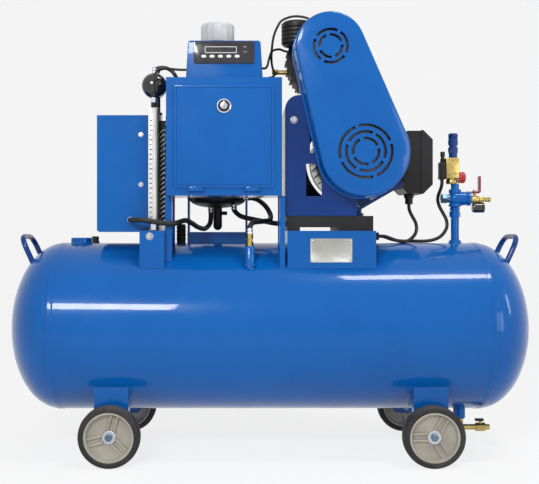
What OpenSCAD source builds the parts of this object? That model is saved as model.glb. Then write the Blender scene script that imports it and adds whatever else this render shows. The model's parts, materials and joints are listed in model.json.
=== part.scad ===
// Belt driven scroll air compressor on a wheeled receiver, in millimetres.
// +X runs along the receiver, -Y faces the operator and +Z is up.
// The origin lies on the floor under the middle of the receiver.

/* [Receiver] */
// Outside diameter of the receiver
tank_d = 430; // [410:2:440]
// Length of the receiver over both heads
tank_len = 1330; // [1310:2:1400]
// Wall of the shell and of the heads
tank_wall = 5; // [3:0.5:8]
// Length of each head along the receiver
head_len = 130; // [122:2:142]
// Height of the receiver's underside above the floor
tank_clear = 108; // [102:1:130]

/* [Running gear] */
// Outside diameter of the tyres
wheel_d = 150; // [140:2:156]
// Width of the tyres
wheel_w = 38; // [34:1:42]
// Distance of each axle from the middle of the receiver
wheel_x = 390; // [360:5:420]
// Width over the outer faces of the tyres
track_w = 430; // [426:1:450]
// Diameter of the axle bolts
axle_d = 12; // [10:1:14]
// Width of the wheel brackets
bracket_w = 84; // [76:2:92]
// Thickness of the wheel bracket plates
bracket_t = 6; // [4:0.5:8]

/* [Drive stand] */
// Height of the motor saddle above the receiver's top
saddle_h = 32; // [28:1:38]
// Depth of the saddle and of the radiator's stand from front to back
saddle_depth = 300; // [280:2:310]
// Height of the black bridge on the saddle
bridge_h = 37; // [32:1:42]
// Height of the pedestal
pedestal_h = 300; // [296:2:306]
// Depth of bridge and pedestal from front to back
stand_depth = 260; // [250:2:270]
// Thickness of the folded sheet
sheet_t = 4; // [3:0.5:5]

/* [Motor and belt drive] */
// Radius of the motor over its fins, which is also its shaft height
motor_r = 112; // [108:1:114]
// Diameter of the motor shaft
motor_shaft_d = 28; // [24:1:30]
// Diameter of the motor pulley
motor_pulley_d = 165; // [155:1:172]
// Diameter of the scroll pulley
scroll_pulley_d = 120; // [112:1:126]
// Radius of the belt guard round the motor pulley
guard_low_r = 108; // [104:1:110]
// Radius of the belt guard round the scroll pulley
guard_up_r = 84; // [80:1:88]
// Depth of the belt guard
guard_depth = 76; // [72:1:78]

/* [Scroll air end] */
// Outside radius of the scroll housing
scroll_r = 98; // [96:1:100]
// Radius on which the orbiting scroll travels
orbit_r = 5.5; // [5:0.1:6]
// Thickness of the scroll wraps
wrap_t = 5; // [4.5:0.1:5.2]
// Radial distance from one turn of a wrap to the next
wrap_pitch = 24; // [24:0.1:24.6]
// Diameter of the crankshaft
crank_d = 25; // [22:1:28]

/* [Water side] */
// Outside diameter of the separator vessel
vessel_d = 150; // [144:1:154]
// Height of the radiator core
radiator_h = 263; // [250:1:270]
// Depth of radiator and fan duct from front to back
duct_depth = 180; // [172:2:184]
// Length of the fan duct
duct_len = 131; // [120:1:140]

/* [Controls] */
// Width of the control box
box_w = 284; // [280:1:290]
// Depth of the control box
box_d = 150; // [140:1:152]
// Height of the control box
box_h = 290; // [284:2:296]
// Sheet of the control box
box_t = 2; // [1.5:0.5:3]
// Travel of a push button
button_travel = 1.5; // [1:0.1:1.8]

/* [Outlet] */
// Outside diameter of the riser pipe
riser_d = 21; // [18:1:24]
// Bore of the hose nipple and of the drain outlet
outlet_bore_d = 8; // [6:0.5:9]
// Outside diameter of the hose nipple
nipple_d = 13; // [12:0.5:14]

/* [Hidden] */
$fn = 64;

// Overrun of every cut past the face it opens
over = 2;
// Radial play of shafts and pins in their bores
play = 0.05;
// Gap between pieces that move past each other
gap = 0.3;

// Colours as seen
blue = [0.0, 0.37, 0.70];
dark_blue = [0.03, 0.12, 0.35];
black = [0.10, 0.10, 0.11];
rubber = [0.16, 0.15, 0.15];
greige = [0.67, 0.65, 0.59];
steel = [0.70, 0.71, 0.73];
brass = [0.62, 0.51, 0.24];
red = [0.72, 0.06, 0.10];
pale = [0.88, 0.88, 0.87];

// Levels and planes that several pieces share
tank_r = tank_d / 2;
tank_z = tank_clear + tank_r;
tank_top = tank_clear + tank_d;
shell_half = tank_len / 2 - head_len;
saddle_top = tank_top + saddle_h;
bridge_top = saddle_top + bridge_h;
pedestal_top = bridge_top + pedestal_h;
stand_front = -stand_depth / 2;
stand_back = stand_depth / 2;
saddle_front = -saddle_depth / 2;
saddle_back = saddle_depth / 2;

// Height of the receiver's surface at a distance y from its axis
function tank_surface(y) = tank_z + sqrt(tank_r * tank_r - y * y);

// A box from one corner to the other
module block(a, b) { translate(a) cube(b - a); }
// Turns a piece built up along Z so that it runs along X or along Y
module along_x() { rotate([0, 90, 0]) children(); }
module along_y() { rotate([-90, 0, 0]) children(); }
// Extrudes an outline drawn in X and Z from y0 to y1
module extrude_y(y0, y1) {
    translate([0, y1, 0]) rotate([90, 0, 0]) linear_extrude(y1 - y0) children();
}
// A straight round rod from one point to another
module rod(a, b, r) {
    v = b - a;
    translate(a)
        rotate([0, acos(v.z / norm(v)), atan2(v.y, v.x)])
            cylinder(r = r, h = norm(v));
}
// A flat ring or a tube
module ring(r_out, r_in, h) {
    difference() {
        cylinder(r = r_out, h = h);
        translate([0, 0, -over]) cylinder(r = r_in, h = h + 2 * over);
    }
}
// The space that the receiver's shell fills
module tank_space() {
    translate([-tank_len / 2, 0, tank_z]) along_x() cylinder(r = tank_r, h = tank_len, $fn = 128);
}

// Tube swept along points: the frame keeps to one reference direction
function unit(v) = v / norm(v);
function tube_points(path, r, sides, ref) = [
    for (i = [0:len(path) - 1])
        let (a = path[max(i - 1, 0)], b = path[min(i + 1, len(path) - 1)],
            t = unit(b - a), s = unit(cross(t, ref)), u = cross(s, t))
        for (j = [0:sides - 1])
            path[i] + r * (cos(360 * j / sides) * s + sin(360 * j / sides) * u)];
function tube_faces(rings, sides) = concat(
    [[for (j = [sides - 1:-1:0]) j]],
    [for (i = [0:rings - 2]) for (j = [0:sides - 1])
        [i * sides + j, i * sides + (j + 1) % sides, (i + 1) * sides + (j + 1) % sides]],
    [for (i = [0:rings - 2]) for (j = [0:sides - 1])
        [i * sides + j, (i + 1) * sides + (j + 1) % sides, (i + 1) * sides + j]],
    [[for (j = [0:sides - 1]) (rings - 1) * sides + j]]);
// Smooth curve through hand-placed points, with k steps a span
function spline_point(a, b, c, d, t) = 0.5 * (2 * b + (c - a) * t
    + (2 * a - 5 * b + 4 * c - d) * t * t + (3 * b - a - 3 * c + d) * t * t * t);
function spline(p, k) = concat(
    [for (i = [0:len(p) - 2]) for (s = [0:k - 1])
        spline_point(p[max(i - 1, 0)], p[i], p[i + 1], p[min(i + 2, len(p) - 1)], s / k)],
    [p[len(p) - 1]]);
module tube(points, r, k = 3, sides = 10, ref = [0, 1, 0]) {
    path = spline(points, k);
    polyhedron(points = tube_points(path, r, sides, ref), faces = tube_faces(len(path), sides));
}

// Receiver: a rolled shell with a weld bead over each seam, and two dished heads
head_flange = 3;
head_steps = 24;
bead_w = 6;
bead_h = 1.2;
function head_curve(grow) = [for (i = [0:head_steps])
    [(tank_r + grow) * cos(90 * i / head_steps),
        head_flange + (head_len - head_flange + grow) * sin(90 * i / head_steps)]];

module tank_shell() {
    color(blue) translate([0, 0, tank_z]) along_x() {
        translate([0, 0, -shell_half]) ring(tank_r, tank_r - tank_wall, 2 * shell_half, $fn = 128);
        for (s = [-1, 1])
            translate([0, 0, s * shell_half - bead_w / 2]) ring(tank_r + bead_h, tank_r, bead_w, $fn = 128);
    }
}

module head_outer() {
    rotate_extrude($fn = 128) polygon(concat([[0, 0], [tank_r, 0]], head_curve(0)));
}

module tank_head() {
    rotate_extrude($fn = 128)
        polygon(concat([[tank_r, 0]], head_curve(0),
            [for (i = [head_steps:-1:0]) head_curve(-tank_wall)[i]], [[tank_r - tank_wall, 0]]));
}

module place_heads() {
    for (s = [0, 1])
        translate([0, 0, tank_z]) mirror([s, 0, 0]) translate([shell_half, 0, 0]) along_x() children();
}

module tank_heads() { color(blue) place_heads() tank_head(); }

// Welded fittings of the receiver: carry handles, sockets, plug, drain socket and valve stub
handle_rod_r = 7;
handle_half = 60;
handle_x = tank_len / 2 - 28;
handle_rise = 17;
handle_foot_in = 32;
handle_sink = 53;
socket_x = -492;
socket_d = 56;
socket_h = 14;
socket_bore_d = 33;
socket_bore_deep = 11;
plug_pos = [-467, 60];
plug_d = 20;
plug_h = 26;
drain_pos = [485, -60];
drain_socket_d = 30;
drain_socket_h = 22;
stub_pos = [-52, -140];
stub_d = 25;
stub_h = 45.8;
stub_foot_h = 8;
stub_foot_grow = 5;
riser_pos = [489, 0];
riser_foot_h = 8;
riser_foot_grow = 5;

module carry_handle() {
    top = tank_top + handle_rise;
    difference() {
        union() {
            rod([handle_x, -handle_half, top], [handle_x, handle_half, top], handle_rod_r);
            for (s = [-1, 1]) {
                translate([handle_x, s * handle_half, top]) sphere(r = handle_rod_r);
                rod([handle_x, s * handle_half, top],
                    [handle_x - handle_foot_in, s * handle_half, top - handle_rise - handle_sink],
                    handle_rod_r);
            }
        }
        place_heads() head_outer();
    }
}

module tank_fittings() {
    color(blue) {
        for (s = [0, 1]) mirror([s, 0, 0]) carry_handle();
        difference() {
            union() {
                translate([socket_x, 0, tank_z]) cylinder(d = socket_d, h = tank_r + socket_h);
                translate([plug_pos.x, plug_pos.y, tank_z])
                    cylinder(d = plug_d, h = tank_surface(plug_pos.y) - tank_z + plug_h);
                translate([drain_pos.x, drain_pos.y, tank_clear - drain_socket_h + tank_wall])
                    cylinder(d = drain_socket_d, h = tank_r / 2);
                translate([stub_pos.x, stub_pos.y, tank_z])
                    cylinder(d = stub_d, h = tank_surface(stub_pos.y) - tank_z + stub_h);
                translate([stub_pos.x, stub_pos.y, tank_z])
                    cylinder(d = stub_d + 2 * stub_foot_grow,
                        h = tank_surface(stub_pos.y) - tank_z + stub_foot_h);
                translate([riser_pos.x, riser_pos.y, tank_z])
                    cylinder(d = riser_d + 2 * riser_foot_grow, h = tank_r + riser_foot_h);
            }
            tank_space();
            translate([socket_x, 0, tank_top + socket_h - socket_bore_deep])
                cylinder(d = socket_bore_d, h = socket_bore_deep + over);
        }
    }
}

// Running gear: each wheel is drawn with its axis along Z and its outer face up
wheel_in = track_w / 2 - wheel_w / 2;
bracket_gap = 9;
bracket_face = wheel_in - wheel_w / 2 - bracket_gap;
bracket_foot = 20;
bracket_taper = 16;
bracket_flange = 22;
pad_t = 4;
pad_half = bracket_w / 2;
pad_y = [100, 168];
tyre_t = 14;
tyre_shoulder = 6;
rim_t = 7;
rim_set = 2;
web_t = 8;
boss_r = 17;
spoke_w = 5;
spoke_gap = 16;
spoke_rise = 6;
axle_head_h = 7.5;
axle_head_d = 19;
axle_head_set = 1.2;
washer_t = 2;
washer_d = 33;
nut_h = 10;
rim_r = wheel_d / 2 - tyre_t;
boss_top = wheel_w / 2 - axle_head_set - axle_head_h - washer_t - gap;
boss_low = -wheel_w / 2 + gap;

module place_wheel(sx, sy) {
    translate([sx * wheel_x, sy * wheel_in, wheel_d / 2]) rotate([-sy * 90, 0, 0]) children();
}

module tyre() {
    color(rubber) rotate_extrude($fn = 96)
        polygon([[rim_r, -wheel_w / 2], [wheel_d / 2 - tyre_shoulder, -wheel_w / 2],
            [wheel_d / 2, -wheel_w / 2 + tyre_shoulder], [wheel_d / 2, wheel_w / 2 - tyre_shoulder],
            [wheel_d / 2 - tyre_shoulder, wheel_w / 2], [rim_r, wheel_w / 2]]);
}

module hub() {
    color(greige) difference() {
        union() {
            translate([0, 0, rim_set - wheel_w / 2]) ring(rim_r, rim_r - rim_t, wheel_w - 2 * rim_set);
            translate([0, 0, -web_t / 2]) cylinder(r = rim_r - rim_t / 2, h = web_t);
            translate([0, 0, boss_low]) cylinder(r = boss_r, h = boss_top - boss_low);
            for (a = [0, 120, 240], s = [-1, 1])
                rotate(a) translate([boss_r - gap, s * spoke_gap / 2 - spoke_w / 2, -web_t / 2 - spoke_rise])
                    cube([rim_r - rim_t / 2 - boss_r, spoke_w, web_t + 2 * spoke_rise]);
        }
        translate([0, 0, -wheel_w]) cylinder(r = axle_d / 2 + play, h = 2 * wheel_w);
    }
}

module axle_bolt() {
    plate = -(wheel_in - bracket_face);
    cylinder_low = plate - bracket_t - nut_h;
    translate([0, 0, cylinder_low]) cylinder(d = axle_d, h = boss_top + gap - cylinder_low);
    translate([0, 0, boss_top + gap]) cylinder(d = washer_d, h = washer_t);
    translate([0, 0, boss_top + gap + washer_t]) cylinder(d = axle_head_d, h = axle_head_h, $fn = 6);
    translate([0, 0, plate]) cylinder(r = boss_r, h = boss_low - gap - plate);
    translate([0, 0, cylinder_low]) cylinder(d = axle_head_d, h = nut_h, $fn = 6);
}

module wheel_bracket(sx, sy) {
    y0 = min(sy * bracket_face, sy * (bracket_face - bracket_t));
    y1 = y0 + bracket_t;
    x = sx * wheel_x;
    half = bracket_w / 2;
    in_y = sy * (bracket_face - bracket_t - bracket_flange);
    foot_z = bracket_foot + wheel_d / 4;
    difference() {
        union() {
            extrude_y(y0, y1)
                polygon([[x - half, tank_z], [x - half, wheel_d / 2], [x - half + bracket_taper, foot_z],
                    [x + half - bracket_taper, foot_z], [x + half, wheel_d / 2], [x + half, tank_z]]);
            for (s = [-1, 1])
                translate([x + s * (half - bracket_t / 2), 0, 0])
                    block([-bracket_t / 2, min(y0, in_y), wheel_d / 2 + axle_head_d],
                        [bracket_t / 2, max(y1, in_y), tank_z]);
        }
        translate([-tank_len / 2, 0, tank_z]) along_x()
            cylinder(r = tank_r + pad_t / 2, h = tank_len, $fn = 128);
        place_wheel(sx, sy) cylinder(d = axle_d, h = 4 * wheel_w, center = true);
    }
    intersection() {
        translate([x - pad_half, 0, tank_z]) along_x() ring(tank_r + pad_t, tank_r, 2 * pad_half, $fn = 128);
        block([x - pad_half, min(sy * pad_y[0], sy * pad_y[1]), 0],
            [x + pad_half, max(sy * pad_y[0], sy * pad_y[1]), tank_z]);
    }
}

module wheel_brackets() { color(blue) for (sx = [-1, 1], sy = [-1, 1]) wheel_bracket(sx, sy); }
module axle_bolts() { color(steel) for (sx = [-1, 1], sy = [-1, 1]) place_wheel(sx, sy) axle_bolt(); }
module hub_front_left() { place_wheel(-1, -1) hub(); }
module hub_front_right() { place_wheel(1, -1) hub(); }
module hub_rear_left() { place_wheel(-1, 1) hub(); }
module hub_rear_right() { place_wheel(1, 1) hub(); }
module tyre_front_left() { place_wheel(-1, -1) tyre(); }
module tyre_front_right() { place_wheel(1, -1) tyre(); }
module tyre_rear_left() { place_wheel(-1, 1) tyre(); }
module tyre_rear_right() { place_wheel(1, 1) tyre(); }

// Drive stand: saddle on the receiver, black bridge, pedestal and tilted motor plate
saddle_x = [41, 259];
bridge_x = [43, 255];
arch_x = [73, 174];
arch_h = 10;
bridge_inset = 2;
pedestal_x = [36, 214];
pedestal_top_x = 226;
pedestal_round = 35;
slot_x = [88, 127];
slot_z = [49, 129];
vent_x = [98, 114];
vent_z = [156, 213];
motor_x = 225;
motor_z = bridge_top + 153;
motor_clear = 6;
scroll_x = 141;
scroll_z = pedestal_top + 105;
shaft_hole_grow = 12;
plate_tilt = 30;
plate_u = [-95, 62];
plate_t = 8;
plate_y = [-95, 95];
lug_x = [190, 214];
lug_w = 24;
lug_h = 18;
bolt_x = 228;
bolt_y = -70;
bolt_d = 12;
bolt_nut_d = 22;
bolt_nut_h = 8;

module motor_saddle() {
    low = tank_surface(saddle_back) - sheet_t;
    color(blue) difference() {
        block([saddle_x[0], saddle_front, low], [saddle_x[1], saddle_back, saddle_top]);
        block([saddle_x[0] + sheet_t, saddle_front + sheet_t, low - over],
            [saddle_x[1] - sheet_t, saddle_back - sheet_t, saddle_top - sheet_t]);
        tank_space();
    }
}

module cushion_bridge() {
    color(black) difference() {
        block([bridge_x[0], stand_front + bridge_inset, saddle_top],
            [bridge_x[1], stand_back - bridge_inset, bridge_top]);
        block([arch_x[0], stand_front - over, saddle_top - over],
            [arch_x[1], stand_back + over, saddle_top + arch_h]);
    }
}

module pedestal_outline(t) {
    x0 = pedestal_x[0] + t;
    r = pedestal_round - t;
    polygon(concat([[x0, bridge_top]],
        [for (a = [180:-15:90]) [x0 + r + r * cos(a), pedestal_top - t - r + r * sin(a)]],
        [[pedestal_top_x - t, pedestal_top - t], [pedestal_x[1] - t, bridge_top]]));
}

module pedestal() {
    color(dark_blue) difference() {
        extrude_y(stand_front, stand_back) pedestal_outline(0);
        extrude_y(stand_front + sheet_t, stand_back - sheet_t) difference() {
            pedestal_outline(sheet_t);
            translate([pedestal_x[0], bridge_top - over]) square([tank_r, over + sheet_t]);
        }
        translate([motor_x, stand_front + sheet_t, motor_z]) along_y()
            cylinder(r = motor_r + motor_clear, h = stand_depth);
        block([pedestal_x[1] - pedestal_round, stand_front + sheet_t, bridge_top - over],
            [motor_x + motor_r, stand_back + over, motor_z]);
        for (at = [[motor_x, motor_z, motor_shaft_d], [scroll_x, scroll_z, crank_d]])
            translate([at[0], stand_front - over, at[1]]) along_y()
                cylinder(r = at[2] / 2 + shaft_hole_grow, h = sheet_t + 2 * over);
        block([slot_x[0], stand_front - over, bridge_top + slot_z[0]],
            [slot_x[1], stand_front + sheet_t + over, bridge_top + slot_z[1]]);
        block([vent_x[0], stand_front - over, bridge_top + vent_z[0]],
            [vent_x[1], stand_front + sheet_t + over, bridge_top + vent_z[1]]);
    }
}

// Frame of the motor plate: u runs up along the plate and v away from it, from the motor's axis
module on_plate() { translate([motor_x, 0, motor_z]) rotate([0, -plate_tilt, 0]) children(); }

module above_plate() {
    on_plate() block([-2 * motor_r, -stand_depth, -motor_r - plate_t],
        [2 * motor_r, stand_depth, motor_r]);
}

module motor_plate() {
    color(dark_blue) union() {
        on_plate() block([plate_u[0], plate_y[0], -motor_r - plate_t], [plate_u[1], plate_y[1], -motor_r]);
        for (y = [plate_y[0], plate_y[1] - lug_w])
            block([lug_x[0], y, bridge_top], [lug_x[1], y + lug_w, bridge_top + lug_h]);
    }
    color(steel) difference() {
        union() {
            translate([bolt_x, bolt_y, bridge_top]) cylinder(d = bolt_nut_d, h = bolt_nut_h, $fn = 6);
            translate([bolt_x, bolt_y, bridge_top]) cylinder(d = bolt_d, h = motor_r / 2);
        }
        above_plate();
    }
}

// Motor: finned frame with stator, end shields, fan cover, rotor, terminal box and glands
frame_y = [-110, 130];
shield_t = 12;
shield_step = 6;
fin_h = 7;
fin_t = 3;
fin_step = 10;
fin_free = [225, 345];
foot_u = [30, 62];
foot_y = [[-85, -50], [50, 85]];
foot_h = 22;
rotor_r = 62;
air_gap = 0.5;
stator_y = [-75, 90];
cover_y = [142, 205];
cover_t = 2;
cover_r = 104;
cover_slot_r = [30, 44, 58, 72];
cover_slot_w = 7;
cover_bar = 10;
cover_rim_drop = 8;
fan_y = [152, 182];
fan_r = 84;
fan_hub_r = 28;
fan_blade_t = 3;
fan_edge = 1;
fan_blades = 7;
shaft_end_y = 186;
box_x = [106, 165];
box_lid_x = 191;
box_half_y = 65;
box_low = 94;
box_high = 66;
box_chamfer = 24;
lid_edge = 3;
neck_half = 40;
box_rib = 4;
gland_x = 368;
gland_r = 10;
gland_nut_d = 26;
gland_nut_h = 10;
gland_h = 26;
cable_d = 9;
saddle_gland_y = -20;
saddle_gland_z = -14;
valve_gland_y = 20;

module motor_frame() {
    color(dark_blue) difference() {
        union() {
            extrude_y(frame_y[0], frame_y[1]) translate([motor_x, motor_z]) union() {
                circle(r = motor_r - fin_h);
                for (a = [fin_step / 2:fin_step:360])
                    if (a < fin_free[0] || a > fin_free[1])
                        rotate(a) translate([0, -fin_t / 2]) square([motor_r, fin_t]);
            }
            on_plate() for (s = [-1, 1], y = foot_y)
                block([s > 0 ? foot_u[0] : -foot_u[1], y[0], -motor_r],
                    [s > 0 ? foot_u[1] : -foot_u[0], y[1], foot_h - motor_r]);
        }
        translate([motor_x, frame_y[0] - over, motor_z]) along_y()
            cylinder(r = motor_r - fin_h - shield_step, h = stator_y[0] - frame_y[0] + over);
        translate([motor_x, frame_y[0], motor_z]) along_y()
            cylinder(r = rotor_r + air_gap, h = frame_y[1] - frame_y[0] + over);
        translate([motor_x, stator_y[1], motor_z]) along_y()
            cylinder(r = motor_r - fin_h - shield_step, h = frame_y[1] - stator_y[1] + over);
        block([motor_x + box_x[0], -neck_half - play, motor_z - neck_half - play],
            [motor_x + motor_r + over, neck_half + play, motor_z + neck_half + play]);
    }
    color(dark_blue) for (y = [frame_y[0] - shield_t, frame_y[1]])
        translate([motor_x, y, motor_z]) along_y()
            ring(motor_r - fin_h, motor_shaft_d / 2 + play, shield_t);
}

module motor_fan_cover() {
    color(black) translate([motor_x, 0, motor_z]) difference() {
        translate([0, cover_y[0], 0]) along_y() rotate_extrude()
            polygon([[cover_r - cover_t, 0], [cover_r, 0],
                [cover_r, cover_y[1] - cover_y[0] - cover_rim_drop],
                [cover_r - cover_rim_drop, cover_y[1] - cover_y[0]], [0, cover_y[1] - cover_y[0]],
                [0, cover_y[1] - cover_y[0] - cover_t],
                [cover_r - cover_rim_drop - cover_t / 2, cover_y[1] - cover_y[0] - cover_t],
                [cover_r - cover_t, cover_y[1] - cover_y[0] - cover_rim_drop]]);
        translate([0, cover_y[1] - cover_t - over, 0]) along_y() linear_extrude(cover_t + 2 * over)
            slot_rings(cover_slot_r, cover_slot_w, cover_bar, 0);
    }
}

// Flat outline of slots in rings of the given radii, each crossed by four bars
module slot_rings(radii, w, bar, turn) {
    for (i = [0:len(radii) - 1]) difference() {
        circle(r = radii[i] + w / 2);
        circle(r = radii[i] - w / 2);
        for (a = [0, 90])
            rotate(a + turn + 45 * (i % 2)) square([3 * radii[i], bar], center = true);
    }
}

pulley_y = [-196, -156];
belt_y = [-186, -166];
belt_w = 10;
belt_h = 9;
groove_deep = 11;
groove_low_w = 11;
groove_top_w = 16;
belt_clear = 0.5;

function groove(y, r) = [[r, y - groove_top_w / 2], [r - groove_deep, y - groove_low_w / 2],
    [r - groove_deep, y + groove_low_w / 2], [r, y + groove_top_w / 2]];

// A two-groove pulley with its axis along Y, in one with the shaft that carries it
module pulley(d) {
    r = d / 2;
    rotate_extrude($fn = 96)
        polygon(concat([[0, pulley_y[0]], [r, pulley_y[0]]], groove(belt_y[0], r), groove(belt_y[1], r),
            [[r, pulley_y[1]], [0, pulley_y[1]]]));
}

module motor_rotor() {
    color(steel) translate([motor_x, 0, motor_z]) {
        translate([0, pulley_y[1] - over, 0]) along_y()
            cylinder(d = motor_shaft_d, h = shaft_end_y - pulley_y[1] + over);
        translate([0, stator_y[0], 0]) along_y() cylinder(r = rotor_r, h = stator_y[1] - stator_y[0]);
        along_y() pulley(motor_pulley_d);
    }
    color(black) translate([motor_x, fan_y[0], motor_z]) along_y() {
        cylinder(r = fan_hub_r, h = fan_y[1] - fan_y[0]);
        for (i = [0:fan_blades - 1])
            rotate(360 * i / fan_blades) translate([fan_hub_r - over, -fan_blade_t / 2, fan_edge])
                cube([fan_r - fan_hub_r + over, fan_blade_t, fan_y[1] - fan_y[0] - 2 * fan_edge]);
    }
}

module box_outline(x0, x1, low, high, c) {
    polygon([[x0, -low + c / 2], [x0 + c / 2, -low], [x1 - c, -low], [x1, -low + c],
        [x1, high - c], [x1 - c, high], [x0 + c / 2, high], [x0, high - c / 2]]);
}

module terminal_box() {
    body_x = box_x[1] + box_chamfer - lid_edge;
    color(black) translate([motor_x, 0, motor_z]) {
        block([box_x[0], -neck_half, -neck_half], [motor_r + lid_edge, neck_half, neck_half]);
        extrude_y(-box_half_y, box_half_y)
            box_outline(motor_r + lid_edge, body_x, box_low, box_high, box_chamfer);
        difference() {
            extrude_y(-box_half_y - lid_edge, box_half_y + lid_edge) intersection() {
                box_outline(motor_r, box_lid_x, box_low + lid_edge / 2, box_high + lid_edge / 2, box_chamfer);
                translate([box_x[1] - lid_edge, -box_low - over]) square([box_low, 3 * box_low]);
            }
            extrude_y(-box_half_y, box_half_y)
                box_outline(motor_r + lid_edge, body_x, box_low, box_high, box_chamfer);
            for (z = [-box_low + box_chamfer:3 * box_rib:box_high - box_chamfer])
                block([box_lid_x - box_rib / 2, -box_half_y, z],
                    [box_lid_x + over, box_half_y, z + box_rib / 2]);
        }
    }
}

// A cable gland with its nut: the cable's end meets its outer face
module gland() {
    cylinder(r = gland_r, h = gland_h);
    cylinder(d = gland_nut_d, h = gland_nut_h, $fn = 6);
}

module cable_glands() {
    color(black) {
        translate([gland_x, 0, motor_z - box_low]) mirror([0, 0, 1]) gland();
        for (y = [saddle_gland_y, valve_gland_y])
            translate([saddle_x[1], y, saddle_top + saddle_gland_z]) along_x() gland();
    }
}

// Belt guard: the outline runs round both pulleys with straight flanks between the two arcs
guard_t = 2.5;
guard_flange = 4;
guard_front_step = 5;
guard_arc_step = 6;
up_vent_r = [27, 40];
low_vent_r = [31, 47, 63];
vent_w = 6;
vent_bar = 9;
up_vent_turn = 15;
low_vent_turn = 20;
guard_back = stand_front;
guard_front = stand_front - guard_depth - sheet_t;

function loop_outline(grow, r_low, r_up) =
    let (dx = scroll_x - motor_x, dz = scroll_z - motor_z, d = sqrt(dx * dx + dz * dz),
        line = atan2(dz, dx), side = acos((r_low - r_up) / d))
    concat(
        [for (i = [0:guard_arc_step]) let (a = line + side + (360 - 2 * side) * i / guard_arc_step)
            each [for (k = [0:4]) if (i < guard_arc_step || k == 0)
                let (b = a + (360 - 2 * side) * k / (5 * guard_arc_step))
                    [motor_x + (r_low + grow) * cos(b), motor_z + (r_low + grow) * sin(b)]]],
        [for (i = [0:guard_arc_step]) let (a = line - side + 2 * side * i / guard_arc_step)
            each [for (k = [0:4]) if (i < guard_arc_step || k == 0)
                let (b = a + 2 * side * k / (5 * guard_arc_step))
                    [scroll_x + (r_up + grow) * cos(b), scroll_z + (r_up + grow) * sin(b)]]]);

module guard_outline(grow) { polygon(loop_outline(grow, guard_low_r, guard_up_r)); }

module belt_guard() {
    color(blue) difference() {
        union() {
            extrude_y(guard_front + guard_front_step, guard_back - sheet_t) guard_outline(0);
            extrude_y(guard_front, guard_front + guard_front_step) guard_outline(-guard_front_step / 2);
            extrude_y(guard_back - sheet_t - guard_t, guard_back - sheet_t) guard_outline(guard_flange);
        }
        extrude_y(guard_front + guard_front_step, guard_back) guard_outline(-guard_t);
        extrude_y(guard_front + guard_t, guard_front + 2 * guard_front_step)
            guard_outline(-guard_t - guard_front_step / 2);
        extrude_y(guard_front - over, guard_front + guard_t + over) {
            translate([scroll_x, scroll_z]) slot_rings(up_vent_r, vent_w, vent_bar, up_vent_turn);
            translate([motor_x, motor_z]) slot_rings(low_vent_r, vent_w, vent_bar, low_vent_turn);
        }
    }
}

module guard_back_plate() {
    color(dark_blue) difference() {
        extrude_y(guard_back - sheet_t, guard_back) guard_outline(guard_flange);
        for (at = [[motor_x, motor_z, motor_shaft_d], [scroll_x, scroll_z, crank_d]])
            translate([at[0], guard_back - sheet_t - over, at[1]]) along_y()
                cylinder(r = at[2] / 2 + shaft_hole_grow, h = sheet_t + 2 * over);
    }
}

module drive_belts() {
    low = motor_pulley_d / 2 - groove_deep + belt_clear;
    up = scroll_pulley_d / 2 - groove_deep + belt_clear;
    color(rubber) for (y = belt_y)
        extrude_y(y - belt_w / 2, y + belt_w / 2) difference() {
            polygon(loop_outline(belt_h, low, up));
            polygon(loop_outline(0, low, up));
        }
}

// Scroll air end: bearing housing, crankshaft, orbiting scroll and fixed scroll on one axis
housing_y = [-118, -20];
flange_t = 12;
flange_step = 2;
housing_r = 42;
housing_foot = 50;
disc_y = [-18, -9];
disc_r = 42;
pin_r = 11;
pin_end = 2;
orbit_hub_r = 24;
orbit_hub_y = [-8, 4];
orbit_plate_y = [4, 14];
orbit_plate_r = 78;
wrap_gap = 0.5;
wrap_turns = 2.75;
wrap_start_r = 8;
fixed_base_y = [46, 58];
fixed_wall = 6;
scroll_fin_h = 22;
scroll_fin_t = 4;
scroll_fin_pitch = 13;
rim_fin_step = 15;
filter_pos = [69, -80];
filter_r = 40;
filter_low = 27;
filter_h = 59;
filter_neck_r = 15;
filter_rib = 5;
filter_rib_deep = 2.5;

function wrap_points(grow) = [for (i = [0:36 * wrap_turns])
    let (a = 10 * i, r = wrap_start_r + wrap_pitch * a / 360 + grow) [r * cos(a), r * sin(a)]];
module wrap_outline() {
    n = len(wrap_points(0));
    polygon(concat(wrap_points(wrap_t / 2), [for (i = [n - 1:-1:0]) wrap_points(-wrap_t / 2)[i]]));
}

module bearing_housing() {
    color(black) translate([scroll_x, 0, scroll_z]) difference() {
        union() {
            translate([0, housing_y[0], 0]) along_y()
                cylinder(r = housing_r, h = housing_y[1] - housing_y[0]);
            translate([0, housing_y[1] - flange_t, 0]) along_y()
                cylinder(r = scroll_r - flange_step, h = flange_t);
            block([-housing_foot, housing_y[0], pedestal_top - scroll_z], [housing_foot, housing_y[1], 0]);
        }
        translate([0, housing_y[0] - over, 0]) along_y()
            cylinder(d = crank_d + 2 * play, h = housing_y[1] - housing_y[0] + 2 * over);
    }
}

module crankshaft() {
    color(steel) translate([scroll_x, 0, scroll_z]) {
        translate([0, pulley_y[1] - over, 0]) along_y()
            cylinder(d = crank_d, h = disc_y[0] - pulley_y[1] + 2 * over);
        translate([0, disc_y[0], 0]) along_y() cylinder(r = disc_r, h = disc_y[1] - disc_y[0]);
        translate([orbit_r, disc_y[0], 0]) along_y() cylinder(r = pin_r, h = pin_end - disc_y[0]);
        along_y() pulley(scroll_pulley_d);
    }
}

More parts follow.
